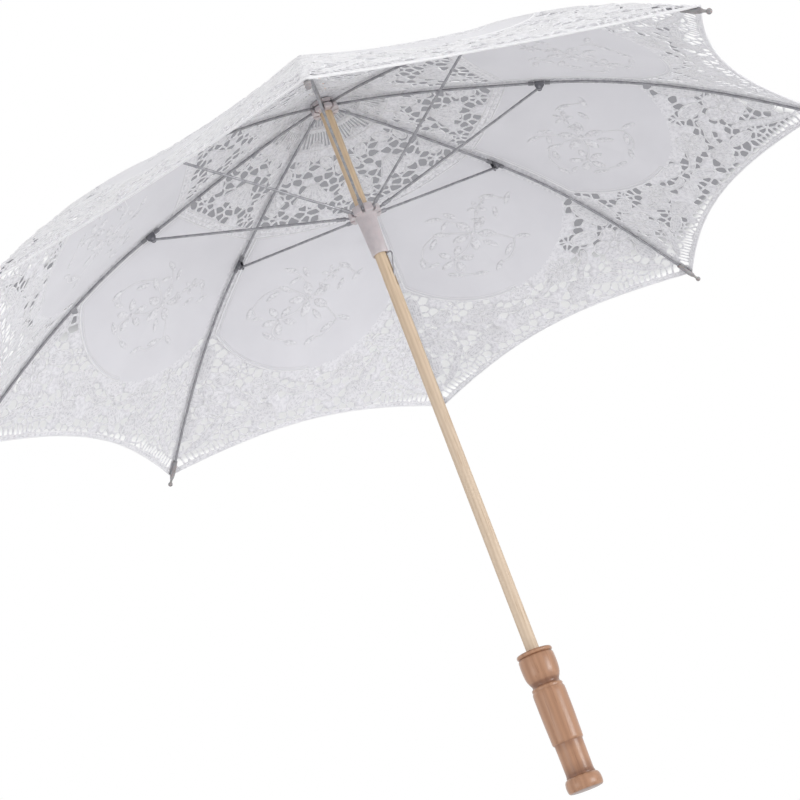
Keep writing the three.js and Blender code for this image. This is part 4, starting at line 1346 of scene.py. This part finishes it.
def add_cord(line, closed, radius, sides=5):
    """A thread on the cover, from (length, offset) points in millimetres."""
    line = np.asarray(line)
    gaps = np.linalg.norm(np.diff(line, axis=0), axis=1)
    if len(line) < 3 or gaps.sum() < 2:
        return
    wide = np.array([gore_half(v) for v in line[:, 0]])
    places = cloth_at(line[:, 0] * MM, np.clip(line[:, 1] / wide, -1, 1), MIDDLE)
    bm = bmesh.new()
    sweep(bm, [Vector(p) for p in places], radius * MM, sides, closed)
    add_island(bm, CORD_TONE)


def add_island(bm, tone):
    bm.normal_update()
    first = len(vertices)
    bm.verts.index_update()
    vertices.extend(tuple(v.co) for v in bm.verts)
    for face in bm.faces:
        polygons.append(tuple(first + v.index for v in face.verts))
        face_lace.append(tone)
    bm.free()


for side in (-1, 1):
    for line, closed, radius in outlines + veins + stems:
        for run, still_closed in pieces_inside(on_panel(line, side), closed):
            add_cord(run, still_closed, radius)
for shift, radius in [(-0.6, 0.75), (-HEM_TAPE + 0.2, 0.6)]:
    add_cord(hem_line + np.array([shift, 0]), False, radius, 6)
ring_cords = [
    (DISC_EDGE, 0.8), (DISC_EDGE - DISC_TAPE, 0.7), (DISC_EDGE - 4.5, 0.5), (26.5, 0.7), (48.5, 0.7),
]
for length, radius in ring_cords:
    wide = gore_half(length)
    add_cord([(length, o) for o in np.linspace(-wide, wide, 27)], False, radius)
for offset in (-RIB_SEAM, RIB_SEAM):
    add_cord([(v, offset) for v in np.linspace(14, RIB_LENGTH / MM - 12, 80)], False, 0.42, 4)
for low, high, rays in SLIT_ROWS:
    for n in range(-rays, rays + 1):
        ray = [(v, gore_half(v) * n / rays * 0.96) for v in np.linspace(low, high, 5)]
        add_cord(ray, False, 0.32, 4)


PAD_RINGS, PAD_SPOKES, PAD_HIGH = 5, 20, 0.62


def above_cloth(spot, rise, face_side, side):
    """A point that stands off one face of the cover, over a spot drawn on the gore."""
    length, offset = on_panel([spot], side)[0]
    across = offset / gore_half(length)
    here = cloth_at(length * MM, across, MIDDLE)
    ahead = cloth_at(length * MM + MM, across, MIDDLE) - here
    aside = cloth_at(length * MM, across + 0.01, MIDDLE) - here
    up = Vector(np.cross(ahead, aside)).normalized()
    if up.z < 0:
        up = -up
    return Vector(here) + up * (rise * MM + CLOTH_HALF) * face_side


def add_pad(centre, half_long, half_across, turn):
    """A satin-stitched pad: a low lens on both faces, its threads running across it."""
    side = 1 if centre[1] < 0 else -1
    bm = bmesh.new()
    rims = []
    for face_side in (1, -1):
        high = min(PAD_HIGH, half_across * 0.25)
        middle = bm.verts.new(above_cloth(centre, high, face_side, side))
        rows = []
        for ring in range(1, PAD_RINGS + 1):
            reach = math.sin(ring / PAD_RINGS * math.pi / 2)
            rise = (math.cos(ring / PAD_RINGS * math.pi / 2) ** 0.8) * high
            row = []
            for n in range(PAD_SPOKES):
                a = 2 * math.pi * n / PAD_SPOKES
                x = half_long * reach * math.cos(a)
                y = half_across * reach * math.sin(a) * (1 - 0.35 * abs(math.cos(a)) ** 3)
                row.append(bm.verts.new(above_cloth(turned(x, y, centre, turn), rise, face_side, side)))
            rows.append(row)
        for n in range(PAD_SPOKES):
            bm.faces.new((middle, rows[0][n], rows[0][(n + 1) % PAD_SPOKES]))
        for low, high_row in zip(rows, rows[1:]):
            for n in range(PAD_SPOKES):
                after = (n + 1) % PAD_SPOKES
                bm.faces.new((low[n], high_row[n], high_row[after], low[after]))
        rims.append(rows[-1])
    for n in range(PAD_SPOKES):
        after = (n + 1) % PAD_SPOKES
        bm.faces.new((rims[0][n], rims[1][n], rims[1][after], rims[0][after]))
    bmesh.ops.recalc_face_normals(bm, faces=bm.faces)
    add_island(bm, PAD_TONE)


for pad in satin_pads:
    add_pad(*pad)

panel_mesh = bpy.data.meshes.new("lace_cover_panel")
panel_mesh.from_pydata(vertices, [], polygons)
panel_mesh.polygons.foreach_set("use_smooth", [True] * len(polygons))
lace_mask = panel_mesh.attributes.new("lacework", "FLOAT", "FACE")
lace_mask.data.foreach_set("value", np.array(face_lace, np.float32))
for edge in panel_mesh.edges:
    p, q = edge.vertices
    if p < 2 * count and q < 2 * count:
        low, high = (p % count, q % count)
        if (low, high) in sharp_pairs or (high, low) in sharp_pairs:
            edge.use_edge_sharp = True
panel_mesh.validate()

cotton, tree, shader = new_finish("white_cotton")
here = node(tree, "TexCoord").outputs["Object"]
lace = node(tree, "Attribute", {"attribute_name": "lacework"}).outputs["Fac"]
warp, weft = (
    node(tree, "TexWave", {"bands_direction": way}, Vector=here, Scale=420.0, Distortion=0.6, Detail=1.0)
    for way in "XY"
)
weave = calc(tree, "MULTIPLY", warp.outputs["Fac"], weft.outputs["Fac"])
slubs = noise(tree, here, 340.0, 6.0, 0.7)
knot_cells = node(tree, "TexVoronoi", {"feature": "F1"}, Vector=here, Scale=760.0, Randomness=1.0)
cloudy = noise(tree, here, 14.0, 3.0)
plain_tone = mixed(tree, spread(tree, cloudy, 0.35, 0.65), (0.70, 0.695, 0.725, 1), (0.665, 0.66, 0.69, 1))
stitched = spread(tree, slubs, 0.38, 0.56)
lace_tone = mixed(tree, stitched, (0.58, 0.575, 0.605, 1), (0.80, 0.795, 0.82, 1))
cloth_tone = mixed(tree, lace, plain_tone, lace_tone)
cord_tone = mixed(tree, spread(tree, lace, 1.4, 1.6), cloth_tone, (0.84, 0.835, 0.855, 1))
tree.links.new(cord_tone, shader.inputs["Base Color"])
relief = calc(tree, "MULTIPLY_ADD", knot_cells.outputs["Distance"], lace, weave)
relief = calc(tree, "MULTIPLY_ADD", slubs, lace, relief)
tree.links.new(bump_from(tree, relief, 0.0003, 0.6), shader.inputs["Normal"])
tree.links.new(spread(tree, slubs, 0.3, 0.7, 0.82, 0.95), shader.inputs["Roughness"])
shader.inputs["Sheen Weight"].default_value = 0.15
shader.inputs["Sheen Roughness"].default_value = 0.5
shader.inputs["Subsurface Weight"].default_value = 0.25
shader.inputs["Subsurface Radius"].default_value = (1.0, 1.0, 1.0)
shader.inputs["Subsurface Scale"].default_value = 0.0015
panel_mesh.materials.append(cotton)

PANEL_WIDE = 2 * gore_half(RIB_LENGTH / MM) * MM
PANEL_AREA = area_inside(panel_outline) * MM * MM
for number in range(1, ARMS + 1):
    panel = bpy.data.objects.new(f"lace_cover_{number}", panel_mesh)
    bpy.context.collection.objects.link(panel)
    panel.matrix_world = arm_place(number)
    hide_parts(f"canopy_panel_{number}")
    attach(panel, f"rib_arm_{number}")
    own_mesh(panel)

# ---- Crown patch ----
# A small pinked round of the same cotton lies under the washer. It covers the cover's centre
# hole and keeps the washer from cutting the lace.
PATCH_R, PATCH_TEETH, PATCH_THICK = 17 * MM, 24, 0.22 * MM
bm = bmesh.new()
rows = []
for radius_share in (0.36, 0.5, 0.66, 0.82, 0.93, 1.0):
    row = []
    for n in range(PATCH_TEETH * 4):
        a = 2 * math.pi * n / (PATCH_TEETH * 4)
        bite = 1 - (0.045 if radius_share > 0.99 else 0) * (1 - abs(math.sin(PATCH_TEETH * a / 2)))
        radius = PATCH_R * radius_share * bite
        sink = 0.9 * MM * max(0, radius_share - 0.72) / 0.28
        row.append((radius * math.cos(a), radius * math.sin(a), CLOTH_TOP + 0.06 * MM - sink * 0.35))
    rows.append(row)
sheet_faces = []
for face_side in (0, 1):
    sheet_faces.append([
        [bm.verts.new((px, py, pz + face_side * PATCH_THICK)) for px, py, pz in row]
        for row in rows
    ])
around = PATCH_TEETH * 4
for layer in sheet_faces:
    for low, high in zip(layer, layer[1:]):
        for n in range(around):
            after = (n + 1) % around
            bm.faces.new((low[n], low[after], high[after], high[n]))
for row_number in (0, -1):
    low, high = sheet_faces[0][row_number], sheet_faces[1][row_number]
    for n in range(around):
        after = (n + 1) % around
        bm.faces.new((low[n], low[after], high[after], high[n]))
patch = object_from(bm, "crown_patch", 60)
patch.data.materials.append(cotton)
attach(patch, "stick")
